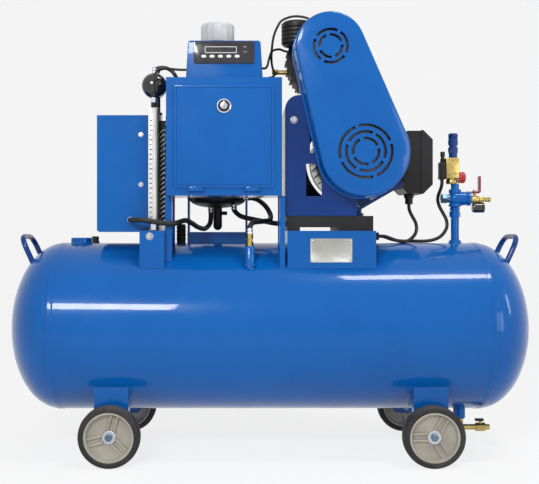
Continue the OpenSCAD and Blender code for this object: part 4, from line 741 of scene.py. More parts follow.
bm = bmesh.new()
threads = []
for i in range(SOCKET_TURNS):
    z = -SOCKET_DEEP + THREAD_PITCH * i
    threads += [(SOCKET_BORE_R, z + 0.2 * MM), (SOCKET_BORE_R + THREAD_H, z + 1.5 * MM)]
outside = [(0, -SOCKET_RISE - FOOT_DEEP), (SOCKET_R, -SOCKET_RISE - FOOT_DEEP), (SOCKET_R, -2 * MM),
           (SOCKET_R - 2 * MM, 0), (SOCKET_BORE_R + 1.5 * MM, 0)]
lathe(bm, outside + threads[::-1] + [(0, -SOCKET_DEEP)], (*SOCKET, TANK_TOP + SOCKET_RISE))
weld_fillet(bm, (*SOCKET, TANK_TOP - 1 * MM), SOCKET_R)
lathe(bm, DRAIN_ROWS, (*DRAIN, heads_low.z - DRAIN_DROP))
stub_z = tank_height(STUB[1])
lathe(bm, [(0, -STUB_DEEP), (STUB_R, -STUB_DEEP), (STUB_R, STUB_H - 1.5 * MM), (11.5 * MM, STUB_H),
           (0, STUB_H)], (*STUB, stub_z))
weld_fillet(bm, (*STUB, stub_z + 2 * MM), STUB_R, 5 * MM)
lathe(bm, RISER_FOOT_ROWS, (*RISER, TANK_TOP))
weld_fillet(bm, (*RISER, TANK_TOP), RISER_FOOT_R)
make_piece("welded_sockets", bm, FINISH["blue"], replaces=["tank_fittings"])

bm = bmesh.new()
plug_z = tank_height(PLUG[1])
lathe(bm, PLUG_ROWS, (*PLUG, plug_z))
hexagon(bm, (*PLUG, plug_z + PLUG_TOP), (0, 0, 1), 17 * MM, 13 * MM)
make_piece("pipe_plug", bm, FINISH["black_paint"], replaces=["tank_fittings"])
print("sockets stand on the receiver, stub foot at", round(stub_z, 3), "m")

# %% [markdown]
# Each wheel has a moulded hub and a grey-black tyre. The tyre is turned from a section with a soft
# shoulder and a seam on its sidewall. The hub is a rim, a thin web set back, a boss and three
# pairs of ribs. All four are alike and sit where the construction's wheels are, one body each.

# %% Wheels
RIM_R = 61 * MM
RIM_LIP = 5 * MM
WEB_HALF = 4 * MM
BOSS_R = 17 * MM
AXLE_R = 6.2 * MM
SPOKE_HALF = 8 * MM
SPOKE_T = 5 * MM
SPOKE_RISE = 10.5 * MM
BOSS_TOP = 8 * MM
SPOKE_PAIRS = 3
HUB_PHASE = {"front_left": 75, "front_right": 60, "rear_left": 40, "rear_right": 15}
TYRE_BEAD = mm([(-1, 2.5), (1.5, 1.2), (2.5, 0.2)])
TYRE_SHOULDER = mm([(7, 0), (5.5, 0.8), (4.8, 0.6), (2.2, 3), (0.7, 6), (0, 11)])


def tyre_profile(r, half):
    """Closed section of a tyre. The bead goes by the rim, the shoulder by the tread."""
    side = [(RIM_R + up, half - back) for up, back in TYRE_BEAD]
    side += [(r - down, half - back) for down, back in TYRE_SHOULDER]
    return side + [(p, -h) for p, h in side[::-1]]


def hub_profile(half):
    """Closed section of a hub: a lipped rim, a web set back and a boss with the axle's bore."""
    edge = half - 2 * MM
    lip = RIM_R - RIM_LIP
    face = [(RIM_R, edge - 1 * MM), (RIM_R - 1 * MM, edge), (lip, edge), (lip - 1.5 * MM, edge - 2 * MM),
            (lip - 3 * MM, WEB_HALF + 2 * MM), (lip - 6 * MM, WEB_HALF), (BOSS_R + 3 * MM, WEB_HALF),
            (BOSS_R + 1 * MM, WEB_HALF + 1.5 * MM), (BOSS_R, BOSS_TOP - 1 * MM),
            (BOSS_R - 1 * MM, BOSS_TOP), (AXLE_R, BOSS_TOP)]
    return face + [(p, -h) for p, h in face[::-1]]


def add_rib(bm, at, turn, side, up):
    """One rib from boss to rim, turned into its place on the wheel."""
    y = side * SPOKE_HALF
    rib = bmesh.new()
    block(rib, (BOSS_R - 1 * MM, y - SPOKE_T / 2, min(0, up * SPOKE_RISE)),
          (RIM_R - RIM_LIP, y + SPOKE_T / 2, max(0, up * SPOKE_RISE)), 1 * MM)
    for v in rib.verts:
        v.co = at + turn(v.co)
    mesh = bpy.data.meshes.new("rib")
    rib.to_mesh(mesh)
    rib.free()
    bm.from_mesh(mesh)
    bpy.data.meshes.remove(mesh)


def make_wheel(word):
    """A tyre and its hub, placed where the construction's wheel is."""
    low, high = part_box("tyre_" + word)
    at = (low + high) / 2
    r, half = (high.z - low.z) / 2, (high.y - low.y) / 2
    out = (0, -1 if at.y < 0 else 1, 0)
    body = "wheel_" + word
    bm = bmesh.new()
    lathe(bm, tyre_profile(r, half), at, out, 96, closed=True)
    make_piece("tyre_on_" + word, bm, FINISH["tyre"], body, ["tyre_" + word])
    bm = bmesh.new()
    lathe(bm, hub_profile(half), at, out, 72, closed=True)
    upright = turned(out)
    for k in range(SPOKE_PAIRS):
        spin = Matrix.Rotation(math.radians(HUB_PHASE[word] + 120 * k), 3, "Z")
        for side in (-1, 1):
            for up in (-1, 1):
                add_rib(bm, at, lambda co: upright @ (spin @ co), side, up)
    make_piece("hub_on_" + word, bm, FINISH["hub"], body, ["hub_" + word])
    return at, out, half


print("hub of radius", round(RIM_R, 3), "m with", SPOKE_PAIRS, "pairs of ribs")

# %% [markdown]
# A bolt with a broad washer carries each wheel. Behind the wheel a spacer keeps it off the bracket, and a
# nut closes the bolt. The washers look alike and never move, so the four are one mesh.

# %% Wheels on their bolts
BOLT_FLATS = 16.5 * MM
BOLT_H = 7.5 * MM
BOLT_R = AXLE_R - 0.3 * MM
BOLT_WASHER_R = 16.5 * MM
BOLT_WASHER_T = 2 * MM
BOLT_SEAT = 8.3 * MM
SPACER_FROM = -28 * MM
NUT_AT = -44 * MM


def make_bolt(word, at, out, half):
    bm = bmesh.new()
    hexagon(bm, at + Vector(out) * (BOLT_SEAT + BOLT_WASHER_T), out, BOLT_FLATS, BOLT_H - 0.6 * MM)
    lathe(bm, [(0, NUT_AT - 3 * MM), (BOLT_R, NUT_AT - 3 * MM), (BOLT_R, BOLT_SEAT), (0, BOLT_SEAT)],
          at, out, 24)
    lathe(bm, [(BOLT_R, SPACER_FROM), (BOSS_R, SPACER_FROM), (BOSS_R, -half - 1 * MM),
               (BOLT_R, -half - 1 * MM)], at, out, 24, closed=True)
    hexagon(bm, at + Vector(out) * NUT_AT, out, BOLT_FLATS, -NUT_AT + SPACER_FROM - 6 * MM)
    make_piece("axle_bolt_" + word, bm, FINISH["blue_zinc"], replaces=["axle_bolts"])


washers = bmesh.new()
washer_rows = [(0, 0), (BOLT_WASHER_R, 0), (BOLT_WASHER_R, BOLT_WASHER_T - 0.5 * MM),
               (BOLT_WASHER_R - 0.5 * MM, BOLT_WASHER_T), (0, BOLT_WASHER_T)]
for word in HUB_PHASE:
    at, out, half = make_wheel(word)
    make_bolt(word, at, out, half)
    lathe(washers, washer_rows, at + Vector(out) * BOLT_SEAT, out, 32)
make_piece("axle_washers", washers, FINISH["steel"], replaces=["axle_bolts"])
print(len(HUB_PHASE), "wheels with their bolts")

# %% [markdown]
# The belt guard is pressed from sheet: a pear-shaped pan with a rolled front edge and a flange at the back.
# Its vents are rings of short curved slots. The pan is lofted from the outline that runs round both
# pulleys. The slots are cut with a boolean, because their tool can widen outwards, which leaves a
# chamfer on every slot that catches the light as the pressed lip of the real one does.

# %% Belt guard
MOTOR_AT = (225 * MM, 760 * MM)
SCROLL_AT = (141 * MM, 1012 * MM)
GUARD_R = (108 * MM, 84 * MM)
GUARD_ROWS = ((4, -134), (4, -136), (3.4, -136.6), (0.4, -137), (0, -138), (0, -202), (-0.4, -205),
              (-1.5, -207.6), (-3.2, -209.3), (-5.5, -210), (-9, -207.4), (-4.6, -206.4), (-2.6, -202),
              (-2.5, -134))
GUARD_FRONT = -210 * MM
VENTS = ((SCROLL_AT, (27, 40), 15), (MOTOR_AT, (31, 47, 63), 20))
VENT_HALF = 3 * MM
VENT_CHAMFER = 1.3 * MM
VENT_BAR = 9 * MM
ARC_STEPS = 40


def pear(inset):
    """Outline round both pulleys, drawn smaller by an inset."""
    low, up = Vector(MOTOR_AT), Vector(SCROLL_AT)
    along = up - low
    line = math.atan2(along.y, along.x)
    side = math.acos((GUARD_R[0] - GUARD_R[1]) / along.length)
    points = []
    for centre, r, start, end in ((low, GUARD_R[0], line + side, line + 2 * math.pi - side),
                                  (up, GUARD_R[1], line - side, line + side)):
        for i in range(ARC_STEPS + 1):
            a = start + (end - start) * i / ARC_STEPS
            points.append((centre.x + (r - inset) * math.cos(a), centre.y + (r - inset) * math.sin(a)))
    return points


def arc_bar(bm, centre, r, a0, a1, steps=12):
    """Cutting tool of one curved slot, wider towards the front."""
    section = ((-VENT_HALF - 2 * VENT_CHAMFER, GUARD_FRONT - VENT_CHAMFER),
               (-VENT_HALF, GUARD_FRONT + VENT_CHAMFER), (-VENT_HALF, GUARD_FRONT + 5 * MM),
               (VENT_HALF, GUARD_FRONT + 5 * MM), (VENT_HALF, GUARD_FRONT + VENT_CHAMFER),
               (VENT_HALF + 2 * VENT_CHAMFER, GUARD_FRONT - VENT_CHAMFER))
    x0, z0 = centre
    rings = []
    for i in range(steps + 1):
        a = a0 + (a1 - a0) * i / steps
        ring = []
        for d, y in section:
            ring.append(bm.verts.new((x0 + (r + d) * math.cos(a), y, z0 + (r + d) * math.sin(a))))
        rings.append(ring)
    skin(bm, rings)


def cut_away(piece, tool):
    """Boolean difference, applied to the piece's mesh."""
    bmesh.ops.recalc_face_normals(tool, faces=tool.faces)
    mesh = bpy.data.meshes.new("tool")
    tool.to_mesh(mesh)
    tool.free()
    tool_obj = bpy.data.objects.new("tool", mesh)
    bpy.context.scene.collection.objects.link(tool_obj)
    cut = piece.modifiers.new("cut", "BOOLEAN")
    cut.operation = "DIFFERENCE"
    cut.solver = "EXACT"
    cut.object = tool_obj
    bpy.context.view_layer.update()
    done = bpy.data.meshes.new_from_object(piece.evaluated_get(bpy.context.evaluated_depsgraph_get()))
    piece.modifiers.clear()
    piece.data = done
    bpy.data.objects.remove(tool_obj)
    done.shade_smooth()
    done.set_sharp_from_angle(angle=math.radians(SHARP_DEG))


bm = bmesh.new()
rings = []
for grow, y in GUARD_ROWS:
    rings.append([bm.verts.new((x, y * MM, z)) for x, z in pear(-grow * MM)])
FRONT_ROW = 9
for k, (a, b) in enumerate(zip(rings, rings[1:] + rings[:1])):
    if k != FRONT_ROW:
        for i in range(len(a)):
            j = (i + 1) % len(a)
            bm.faces.new([a[i], a[j], b[j], b[i]])
bm.faces.new(rings[FRONT_ROW])
bm.faces.new(list(reversed(rings[FRONT_ROW + 1])))
guard = make_piece("guard_pan", bm, FINISH["blue"], replaces=["belt_guard"])
tool = bmesh.new()
for centre, radii, turn in VENTS:
    for k, r in enumerate(radii):
        gap = math.asin(VENT_BAR / 2 / (r * MM))
        for q in range(4):
            a = math.radians(turn + 45 * (k % 2) + 90 * q)
            arc_bar(tool, centre, r * MM, a + gap, a + math.pi / 2 - gap)
cut_away(guard, tool)
print("guard with", sum(4 * len(v[1]) for v in VENTS), "slots,", len(guard.data.polygons), "faces")

# %% [markdown]
# The door of the control box is a shallow pressed tray. Its edge is folded back, and a fine groove runs
# round the face just inside the fold. The lock is a bright ring with a turning barrel and a small wing.
# The door, the ring and the knuckles move together, while barrel and cam turn in them.

# %% Door and lock
door_low, door_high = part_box("door")
HINGE_R = 4.5 * MM
HINGE_Y = door_low.y + HINGE_R
HINGE_Z = 669 * MM
KNUCKLE_R = 3.4 * MM
DOOR_FACE = HINGE_Y + 1.7 * MM
DOOR_SKIN = 3 * MM
DOOR_FOLD = 2.2 * MM
GROOVE_AT = 7.5 * MM
GROOVE_W = 1.6 * MM
GROOVE_DEEP = 0.9 * MM
TRAY_IN = 7 * MM
TRAY_BACK = door_high.y
KNUCKLES = ((-199, -169), (-61, -31))
DOOR_Z0 = 674 * MM
LOCK_AT = (-115 * MM, 875 * MM)
LOCK_RING = mm([(9.6, -2), (18, -2), (18, 1.5), (17.2, 3.2), (15.5, 3.9), (14.6, 3.4), (14, 1.2),
                (9.6, 1.2)])
LOCK_RECESS = mm([(9.7, 0.9), (14.2, 0.9), (14.2, 1.7), (9.7, 1.7)])
LOCK_NOSE = mm([(0, 0), (6.5, 0), (8.4, -0.5), (9, -1.8)])
WING_HALF = 2.6 * MM
WING_R = 2.4 * MM
CAM_HALF = 7 * MM

bm = bmesh.new()
door_outline = rounded_rect(door_low.x, door_high.x, DOOR_Z0, door_high.z, 3 * MM)
face = fold_rows(DOOR_FACE + DOOR_SKIN, DOOR_FACE, DOOR_FOLD)
face += [(GROOVE_AT, DOOR_FACE), (GROOVE_AT + 0.3 * GROOVE_W, DOOR_FACE + GROOVE_DEEP),
         (GROOVE_AT + 0.7 * GROOVE_W, DOOR_FACE + GROOVE_DEEP), (GROOVE_AT + GROOVE_W, DOOR_FACE)]
back = [(TRAY_IN + 2 * MM, DOOR_FACE + DOOR_SKIN), (TRAY_IN + 2 * MM, TRAY_BACK), (TRAY_IN, TRAY_BACK),
        (TRAY_IN, DOOR_FACE + DOOR_SKIN)]
loft(bm, door_outline, back + face)
for x0, x1 in KNUCKLES:
    lathe(bm, [(0, 0), (KNUCKLE_R - 0.5 * MM, 0), (KNUCKLE_R, 0.5 * MM), (KNUCKLE_R, (x1 - x0 - 0.5) * MM),
               (KNUCKLE_R - 0.5 * MM, (x1 - x0) * MM), (0, (x1 - x0) * MM)],
          (x0 * MM, HINGE_Y, HINGE_Z), (1, 0, 0), 24)
    block(bm, (x0 * MM, HINGE_Y - 0.5 * MM, HINGE_Z),
          (x1 * MM, DOOR_FACE + DOOR_SKIN, DOOR_Z0 + 3 * MM), 0.4 * MM)
make_piece("door_tray", bm, FINISH["blue"], "door", ["door"])

bm = bmesh.new()
ring_at = (LOCK_AT[0], DOOR_FACE, LOCK_AT[1])
lathe(bm, LOCK_RING, ring_at, (0, -1, 0), 48, closed=True)
make_piece("lock_ring", bm, FINISH["chrome"], "door", ["door"])
bm = bmesh.new()
lathe(bm, LOCK_RECESS, ring_at, (0, -1, 0), 48, closed=True)
make_piece("lock_recess", bm, FINISH["black_plastic"], "door", ["door"])

lock_low, lock_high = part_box("door_lock")
bm = bmesh.new()
lock_x, lock_z = LOCK_AT
barrel_end = lock_low.y - lock_high.y + 1 * MM
lathe(bm, LOCK_NOSE + [(9 * MM, barrel_end), (0, barrel_end)], (lock_x, lock_low.y, lock_z), (0, -1, 0), 40)
wing = rounded_rect(lock_x - WING_HALF, lock_x + WING_HALF, lock_z - 3 * MM, lock_z + 11.5 * MM, WING_R)
loft(bm, wing, fold_rows(lock_low.y + 2 * MM, lock_low.y - 1.2 * MM, 0.7 * MM))
block(bm, (lock_x - CAM_HALF, lock_high.y - 3 * MM, lock_z - CAM_HALF),
      (lock_high.x, lock_high.y, lock_z + CAM_HALF), 0.8 * MM)
make_piece("lock_barrel", bm, FINISH["steel"], "lock", ["door_lock"])
print("door face at", round(DOOR_FACE, 4), "m")

# %% [markdown]
# The display head is a folded hood with leaning sides. A black glossy panel lies in its front, with an
# opening for each button. The openings are cut with a boolean, because a lofted plate has none, and their
# tool follows the construction's buttons with a small gap.

# %% Display head
head_low, head_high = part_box("display_head")
HEAD_LEAN = 5 * MM
HEAD_ROUND = 7 * MM
panel_low, panel_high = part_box("display_panel")
PANEL_FACE = -154 * MM
WINDOW = (-162, -84, 1006, 1022)
LAMPS = ((-63, 1009), (-63, 1021))
LAMP_HALF = (5, 2.2)
BUTTONS = range(1, 6)
BUTTON_GAP = 0.4 * MM
BUTTON_HOLE_R = 3.6 * MM


def hood(inset):
    """Outline of the hood, with a flat foot and rounded upper corners."""
    x0, x1, z0, z1 = head_low.x + inset, head_high.x - inset, head_low.z, head_high.z - inset
    points = [(x0, z0), (x1, z0)]
    for cx, a0, lean in ((x1 - HEAD_LEAN - HEAD_ROUND, 0, 1), (x0 + HEAD_LEAN + HEAD_ROUND, 90, -1)):
        for i in range(7):
            a = math.radians(a0 + 15 * i)
            points.append((cx + HEAD_ROUND * math.cos(a), z1 - HEAD_ROUND + HEAD_ROUND * math.sin(a)))
    return points


bm = bmesh.new()
loft(bm, hood, [(1.6 * MM, head_high.y), (0, head_high.y - 1.6 * MM), (0, head_low.y + 2 * MM),
                (0.6 * MM, head_low.y + 0.6 * MM), (2 * MM, head_low.y)])
make_piece("display_hood", bm, FINISH["blue"], replaces=["display_head"])

panel_film = clear_coated("panel_film", (0.006, 0.005, 0.009), (0.012, 0.010, 0.018), (0.12, 0.2), 0.6,
                          patch=8.0, edge=0.5, grain=(700.0, 0.03, 0.1), dust=0.06)
bm = bmesh.new()
loft(bm, rounded_rect(panel_low.x, panel_high.x, panel_low.z, panel_high.z, 3 * MM),
     fold_rows(head_low.y + 0.5 * MM, PANEL_FACE, 0.8 * MM))
tool = bmesh.new()
for n in BUTTONS:
    low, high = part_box(f"button_{n}")
    hole = rounded_rect(low.x - BUTTON_GAP, high.x + BUTTON_GAP, low.z - BUTTON_GAP, high.z + BUTTON_GAP,
                        BUTTON_HOLE_R)
    loft(tool, hole, [(0, PANEL_FACE - 2 * MM), (0, head_low.y + 3 * MM)])
panel = make_piece("panel_face", bm, panel_film, replaces=["display_panel"])
cut_away(panel, tool)
print("hood and panel, with", len(BUTTONS), "openings")

# %% [markdown]
# The panel's window has a pale frame that stands proud of the film, and a dark screen set into it.
# Beside it are two lamps, unlit. Five oval buttons are separate pieces, each on its own body, and are
# lofted with a domed face, so that each shows a soft highlight.

# %% Window, lamps and buttons
BUTTON_ROWS = mm([(0, 0.8), (0.25, 0.3), (0.8, 0.05), (1.6, 0), (2.3, 0.25)])
FRAME_ROWS = mm([(0, 0.5), (0, -0.7), (0.3, -1), (1.3, -1), (1.6, -0.4)])
SCREEN_IN = 1.8 * MM
LENS_R = 2.1 * MM

bm = bmesh.new()
x0, x1, z0, z1 = [v * MM for v in WINDOW]
frame_outline = rounded_rect(x0, x1, z0, z1, 1.5 * MM, 2)
loft(bm, frame_outline, [(inset, PANEL_FACE + back) for inset, back in FRAME_ROWS])
make_piece("window_frame", bm, FINISH["pale"], replaces=["display_panel"])
window_glass = clear_coated("window_glass", (0.020, 0.022, 0.024), (0.040, 0.042, 0.046), (0.08, 0.14), 0.0,
                            patch=30.0, edge=0.2, grain=(900.0, 0.02, 0.1), dust=0.03)
bm = bmesh.new()
screen = rounded_rect(x0 + SCREEN_IN, x1 - SCREEN_IN, z0 + SCREEN_IN, z1 - SCREEN_IN, 0.6 * MM, 2)
loft(bm, screen, [(0, PANEL_FACE + 0.2 * MM), (0, PANEL_FACE - 0.8 * MM)])
make_piece("window_screen", bm, window_glass)

lamp_lens = clear_coated("lamp_lens", (0.10, 0.09, 0.14), (0.16, 0.15, 0.20), (0.10, 0.20), 0.8,
                         patch=60.0, edge=0.2, grain=(900.0, 0.03, 0.1), dust=0.03)
lamp_x, lamp_z = LAMP_HALF
for n, (x, z) in enumerate(LAMPS):
    bm = bmesh.new()
    lens = rounded_rect((x - lamp_x) * MM, (x + lamp_x) * MM, (z - lamp_z) * MM, (z + lamp_z) * MM, LENS_R)
    loft(bm, lens, fold_rows(PANEL_FACE + 0.3 * MM, PANEL_FACE - 1 * MM, 0.8 * MM))
    make_piece(f"lamp_{n + 1}", bm, lamp_lens)
for n in BUTTONS:
    low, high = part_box(f"button_{n}")
    bm = bmesh.new()
    oval = rounded_rect(low.x, high.x, low.z, high.z, (high.z - low.z) / 2, 8)
    loft(bm, oval, [(0, high.y)] + [(inset, low.y + back) for inset, back in BUTTON_ROWS])
    make_piece(f"button_cap_{n}", bm, FINISH["pale"], f"push_{n}", [f"button_{n}"])
print("window,", len(LAMPS), "lamps and", len(BUTTONS), "buttons")

# %% [markdown]
# The separator's cap is a pale, slightly see-through screw lid with broad flutes and a soft crown.
# A turned form has no flutes, so its radius is changed with the angle while the rings are placed.
# The vessel below is spun steel, and gets a clean turned surface with its rolled shoulder.
# Its black is painted shade, for the shadow that lies on it under the control box.

# %% Separator
cap_low, cap_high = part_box("separator_cap")
CAP_FLUTES = 16
CAP_STEPS = 192
CAP_FLUTE = 1.3 * MM
CAP_WALL = 3 * MM
CROWN_IN = 7 * MM
CROWN_H = 7.5 * MM
CROWN_FROM = 9 * MM


def fluted(bm, profile, at, flutes, deep, steps):
    """Turned closed profile whose radius waves round the axis by a share given for each ring."""
    rings = []
    for r, h, share in profile:
        ring = []
        for i in range(steps):
            a = 2 * math.pi * i / steps
            wave = abs(math.cos(flutes * a / 2)) ** 0.6
            k = r - deep * share * wave
            ring.append(bm.verts.new((at.x + k * math.cos(a), at.y + k * math.sin(a), at.z + h)))
        rings.append(ring)
    skin(bm, rings)


cap_at = Vector(((cap_low.x + cap_high.x) / 2, (cap_low.y + cap_high.y) / 2, cap_low.z))
CAP_R = (cap_high.x - cap_low.x) / 2
CAP_H = cap_high.z - cap_low.z
crown = []
for t in (0, 0.2, 0.4, 0.6, 0.8, 1):
    a = math.pi / 2 * t
    crown.append((CAP_R - CROWN_IN * (1 - math.cos(a)), CAP_H - CROWN_FROM + CROWN_H * math.sin(a), 1 - t))
bore_r = CAP_R - CAP_WALL - 2 * MM
rows = [(1 * MM, CAP_H - CAP_WALL, 0), (CAP_R - 8 * MM, CAP_H - CAP_WALL - 1 * MM, 0),
        (bore_r, 20 * MM, 0), (bore_r, 0, 0), (CAP_R - 0.8 * MM, 0, 1), (CAP_R, 1.5 * MM, 1)]
rows += crown + [(CAP_R - 14 * MM, CAP_H - 0.5 * MM, 0), (12 * MM, CAP_H, 0)]
bm = bmesh.new()
fluted(bm, rows, cap_at, CAP_FLUTES, CAP_FLUTE, CAP_STEPS)
make_piece("water_cap", bm, FINISH["cap"], "cap", ["separator_cap"])

vessel_low, vessel_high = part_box("separator_vessel")
VESSEL_R = (vessel_high.x - vessel_low.x) / 2
VESSEL_TOP = vessel_high.z - 20 * MM - vessel_low.z
SHOULDER = 16 * MM
DISH = 22 * MM
DISH_STEPS = 14
SHOULDER_STEPS = 10
BEAD_IN = 60 * MM
BEAD_H = 0.9 * MM
NECK_R = 40 * MM
NECK_ROWS = mm([(39.7, 1), (39.7, 20), (35, 20), (35, -3), (0, -5)])
profile = []
for i in range(DISH_STEPS + 1):
    a = math.pi / 2 * i / DISH_STEPS
    profile.append((VESSEL_R * math.sin(a), DISH - DISH * math.cos(a)))
for z in (BEAD_IN, VESSEL_TOP - BEAD_IN):
    profile += [(VESSEL_R, z - 3 * MM), (VESSEL_R + BEAD_H, z - 1.4 * MM),
                (VESSEL_R + BEAD_H, z + 1.4 * MM), (VESSEL_R, z + 3 * MM)]
for i in range(SHOULDER_STEPS + 1):
    a = math.pi / 2 * i / SHOULDER_STEPS
    profile.append((NECK_R + (VESSEL_R - NECK_R) * math.cos(a),
                    VESSEL_TOP - SHOULDER + SHOULDER * math.sin(a)))
profile += [(r, VESSEL_TOP + up) for r, up in NECK_ROWS]
bm = bmesh.new()
lathe(bm, profile, (cap_at.x, cap_at.y, vessel_low.z), steps=96)
# Black paint here is painted shade: the vessel stands in the shadow under the control box.
make_piece("separator_drum", bm, FINISH["black_paint"], replaces=["separator_vessel"])
print("cap radius", round(CAP_R, 3), "m with", CAP_FLUTES, "flutes")

# %% [markdown]
# The level gauge is a clear tube in a white channel with a printed scale, between two bright unions.
# Scale marks are thin raised bars whose lengths follow a short repeating list. Real bars catch the light
# from the side, where a painted pattern would stay flat.

# %% Level gauge
gauge_low, gauge_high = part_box("level_gauge")
CHANNEL_FOOT = 594 * MM
CHANNEL_TOP = 877 * MM
CHANNEL_H = CHANNEL_TOP - CHANNEL_FOOT
SCALE_W = 5 * MM
TUBE_R = 5.2 * MM
MARK_PITCH = 12 * MM
MARK_LENS = (7, 5, 6, 4.5, 6.5, 4)
gx = (gauge_low.x + gauge_high.x) / 2
gy = (gauge_low.y + gauge_high.y) / 2
bm = bmesh.new()
block(bm, (gauge_low.x, gauge_low.y + 4 * MM, CHANNEL_FOOT),
      (gauge_high.x - SCALE_W, gauge_high.y, CHANNEL_TOP), 1 * MM)
lathe(bm, [(0, 0), (TUBE_R, 0), (TUBE_R, CHANNEL_H - 4 * MM), (0, CHANNEL_H - 4 * MM)],
      (gx + 2 * MM, gauge_low.y + 5.4 * MM, CHANNEL_FOOT + 2 * MM), steps=24)
make_piece("gauge_channel", bm, FINISH["pale"], replaces=["level_gauge"])
bm = bmesh.new()
block(bm, (gauge_high.x - SCALE_W, gauge_low.y + 1 * MM, CHANNEL_FOOT),
      (gauge_high.x, gauge_high.y, CHANNEL_TOP), 0.8 * MM)
marks = int((CHANNEL_H - 20 * MM) / MARK_PITCH)
for i in range(marks):
    long = MARK_LENS[i % len(MARK_LENS)] * MM
    z = CHANNEL_FOOT + 10 * MM + i * MARK_PITCH
    block(bm, (gauge_low.x + 3.5 * MM, gauge_low.y + 3.4 * MM, z - 1.2 * MM),
          (gauge_low.x + 3.5 * MM + long, gauge_low.y + 4.4 * MM, z + 1.2 * MM), 0.1 * MM, 1)
make_piece("gauge_scale", bm, FINISH["black_plastic"], replaces=["level_gauge"])
bm = bmesh.new()
hexagon(bm, (gx, gy, CHANNEL_TOP + 12 * MM), (0, 0, 1), 15 * MM, 12 * MM)
hexagon(bm, (gx, gy, gauge_low.z + 2 * MM), (0, 0, 1), 21 * MM, CHANNEL_FOOT - gauge_low.z - 9 * MM)
make_piece("gauge_unions", bm, FINISH["chrome"], replaces=["level_gauge"])
bm = bmesh.new()
SEALS = ((CHANNEL_TOP, 7 * MM, 12 * MM),
         (CHANNEL_TOP + 24 * MM, 6.5 * MM, gauge_high.z - CHANNEL_TOP - 24 * MM),
         (gauge_low.z, 8 * MM, 2 * MM), (CHANNEL_FOOT - 7 * MM, 7 * MM, 7 * MM))
for foot, r, h in SEALS:
    lathe(bm, [(0, 0), (r - 0.6 * MM, 0), (r, 0.6 * MM), (r, h - 0.6 * MM), (r - 0.6 * MM, h), (0, h)],
          (gx, gy, foot), steps=28)
make_piece("gauge_seals", bm, FINISH["black_plastic"], replaces=["level_gauge"])
print(marks, "marks on the scale")

# %% [markdown]
# Beside the gauge hangs a round pressure switch, like a black bowl with its glossy dome towards the
# operator. It is one turned profile: a rim with a groove, then a quarter of an ellipse.

# %% Pressure switch
bowl_black = clear_coated("bowl_black", (0.008, 0.008, 0.009), (0.014, 0.014, 0.015), (0.10, 0.2), 0.7,
                          patch=10.0, edge=0.8, grain=(400.0, 0.05, 0.15), dust=0.08)
switch_low, switch_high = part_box("pressure_switch")
SWITCH_R = 32 * MM
SWITCH_Z = 941 * MM
SWITCH_RIM = mm([(4, 0), (1, 1.5), (0, 4), (0, 20), (1.5, 21), (1.5, 24), (0, 25)])
SWITCH_FOOT = (-288 * MM, -58 * MM, switch_low.z)
DOME_H = 22 * MM
DOME_STEPS = 12
sx = (switch_low.x + switch_high.x) / 2
deep = switch_high.y - switch_low.y
bm = bmesh.new()
rim = [(0, 0)] + [(SWITCH_R - back, up) for back, up in SWITCH_RIM]
dome = []
for i in range(DOME_STEPS):
    a = math.pi / 2 * i / DOME_STEPS
    dome.append((SWITCH_R * math.cos(a), deep - DOME_H + DOME_H * math.sin(a)))
dome.append((0.0, deep))
lathe(bm, rim + dome, (sx, switch_high.y, SWITCH_Z), (0, -1, 0), 64)
lathe(bm, mm([(0, 0), (8, 0), (8, 60), (0, 60)]), SWITCH_FOOT, steps=28)
hexagon(bm, SWITCH_FOOT, (0, 0, 1), 22 * MM, 12 * MM)
make_piece("switch_bowl", bm, bowl_black, replaces=["pressure_switch"])
print("switch dome", round(deep, 3), "m deep")

# %% [markdown]
# The outlet group stands on the riser: a cross with its side fittings, a brass block, the adjustable
# relief valve with knurled bands, a ball valve with a vinyl-dipped lever and a small bowl gauge.
# Each is turned or lofted after the real part, because at this size a hexagon, a groove or a barb tells it.

# %% Riser and cross
riser_low, riser_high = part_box("riser_pipe")
CROSS_Z = 655 * MM
CROSS_END = riser_high.x
RISER_TOP = 693 * MM
RISER_R = 10.5 * MM
ARM_BACK = mm([(0, -19), (8, -17.5), (14, -12.5), (17.5, -6), (18.6, 0)])
ARM_END = mm([(18, 14), (16, 12), (16, 10), (19, 9), (19, 1), (18, 0), (0, 0)])
BRANCH = mm([(0, -22), (15, -22), (16, -21), (16, -15), (14, -13), (14, 13), (16, 15), (16, 23), (15, 24),
             (0, 24)])
bm = bmesh.new()
foot = riser_low.z - RISER_TOP
lathe(bm, [(0, foot), (RISER_R, foot), (RISER_R, 0), (0, 0)], (*RISER, RISER_TOP), steps=40)
hexagon(bm, (*RISER, 606 * MM), (0, 0, 1), 25 * MM, 16 * MM)
hexagon(bm, (*RISER, 624 * MM), (0, 0, 1), 23 * MM, 8 * MM)
make_piece("riser_tube", bm, FINISH["blue"], replaces=["riser_pipe"])
bm = bmesh.new()
reach = CROSS_END - RISER[0]
lathe(bm, ARM_BACK + [(r, reach - back) for r, back in ARM_END], (*RISER, CROSS_Z), (1, 0, 0), 48)
lathe(bm, BRANCH, (*RISER, CROSS_Z), steps=48)
make_piece("riser_cross", bm, FINISH["blue"], replaces=["riser_pipe"])
bm = bmesh.new()
hexagon(bm, (riser_low.x + 14 * MM, 0, CROSS_Z), (-1, 0, 0), 24 * MM, 13 * MM)
lathe(bm, mm([(0, 0), (11, 0), (11, 12), (0, 12)]), (riser_low.x + 12 * MM, 0, CROSS_Z), (1, 0, 0), 32)
make_piece("cross_plug", bm, FINISH["blue_zinc"], replaces=["riser_pipe"])
print("cross at", round(CROSS_Z, 3), "m")

# %% [markdown]
# The brass block carries a red plastic cap at its side and the relief valve on top. The relief valve is
# vented by pulling its knurled sleeve up, so the sleeve and its pin are one moving body.
# Knurling could be cut with a boolean, but waving the radius round the axis costs far fewer faces.

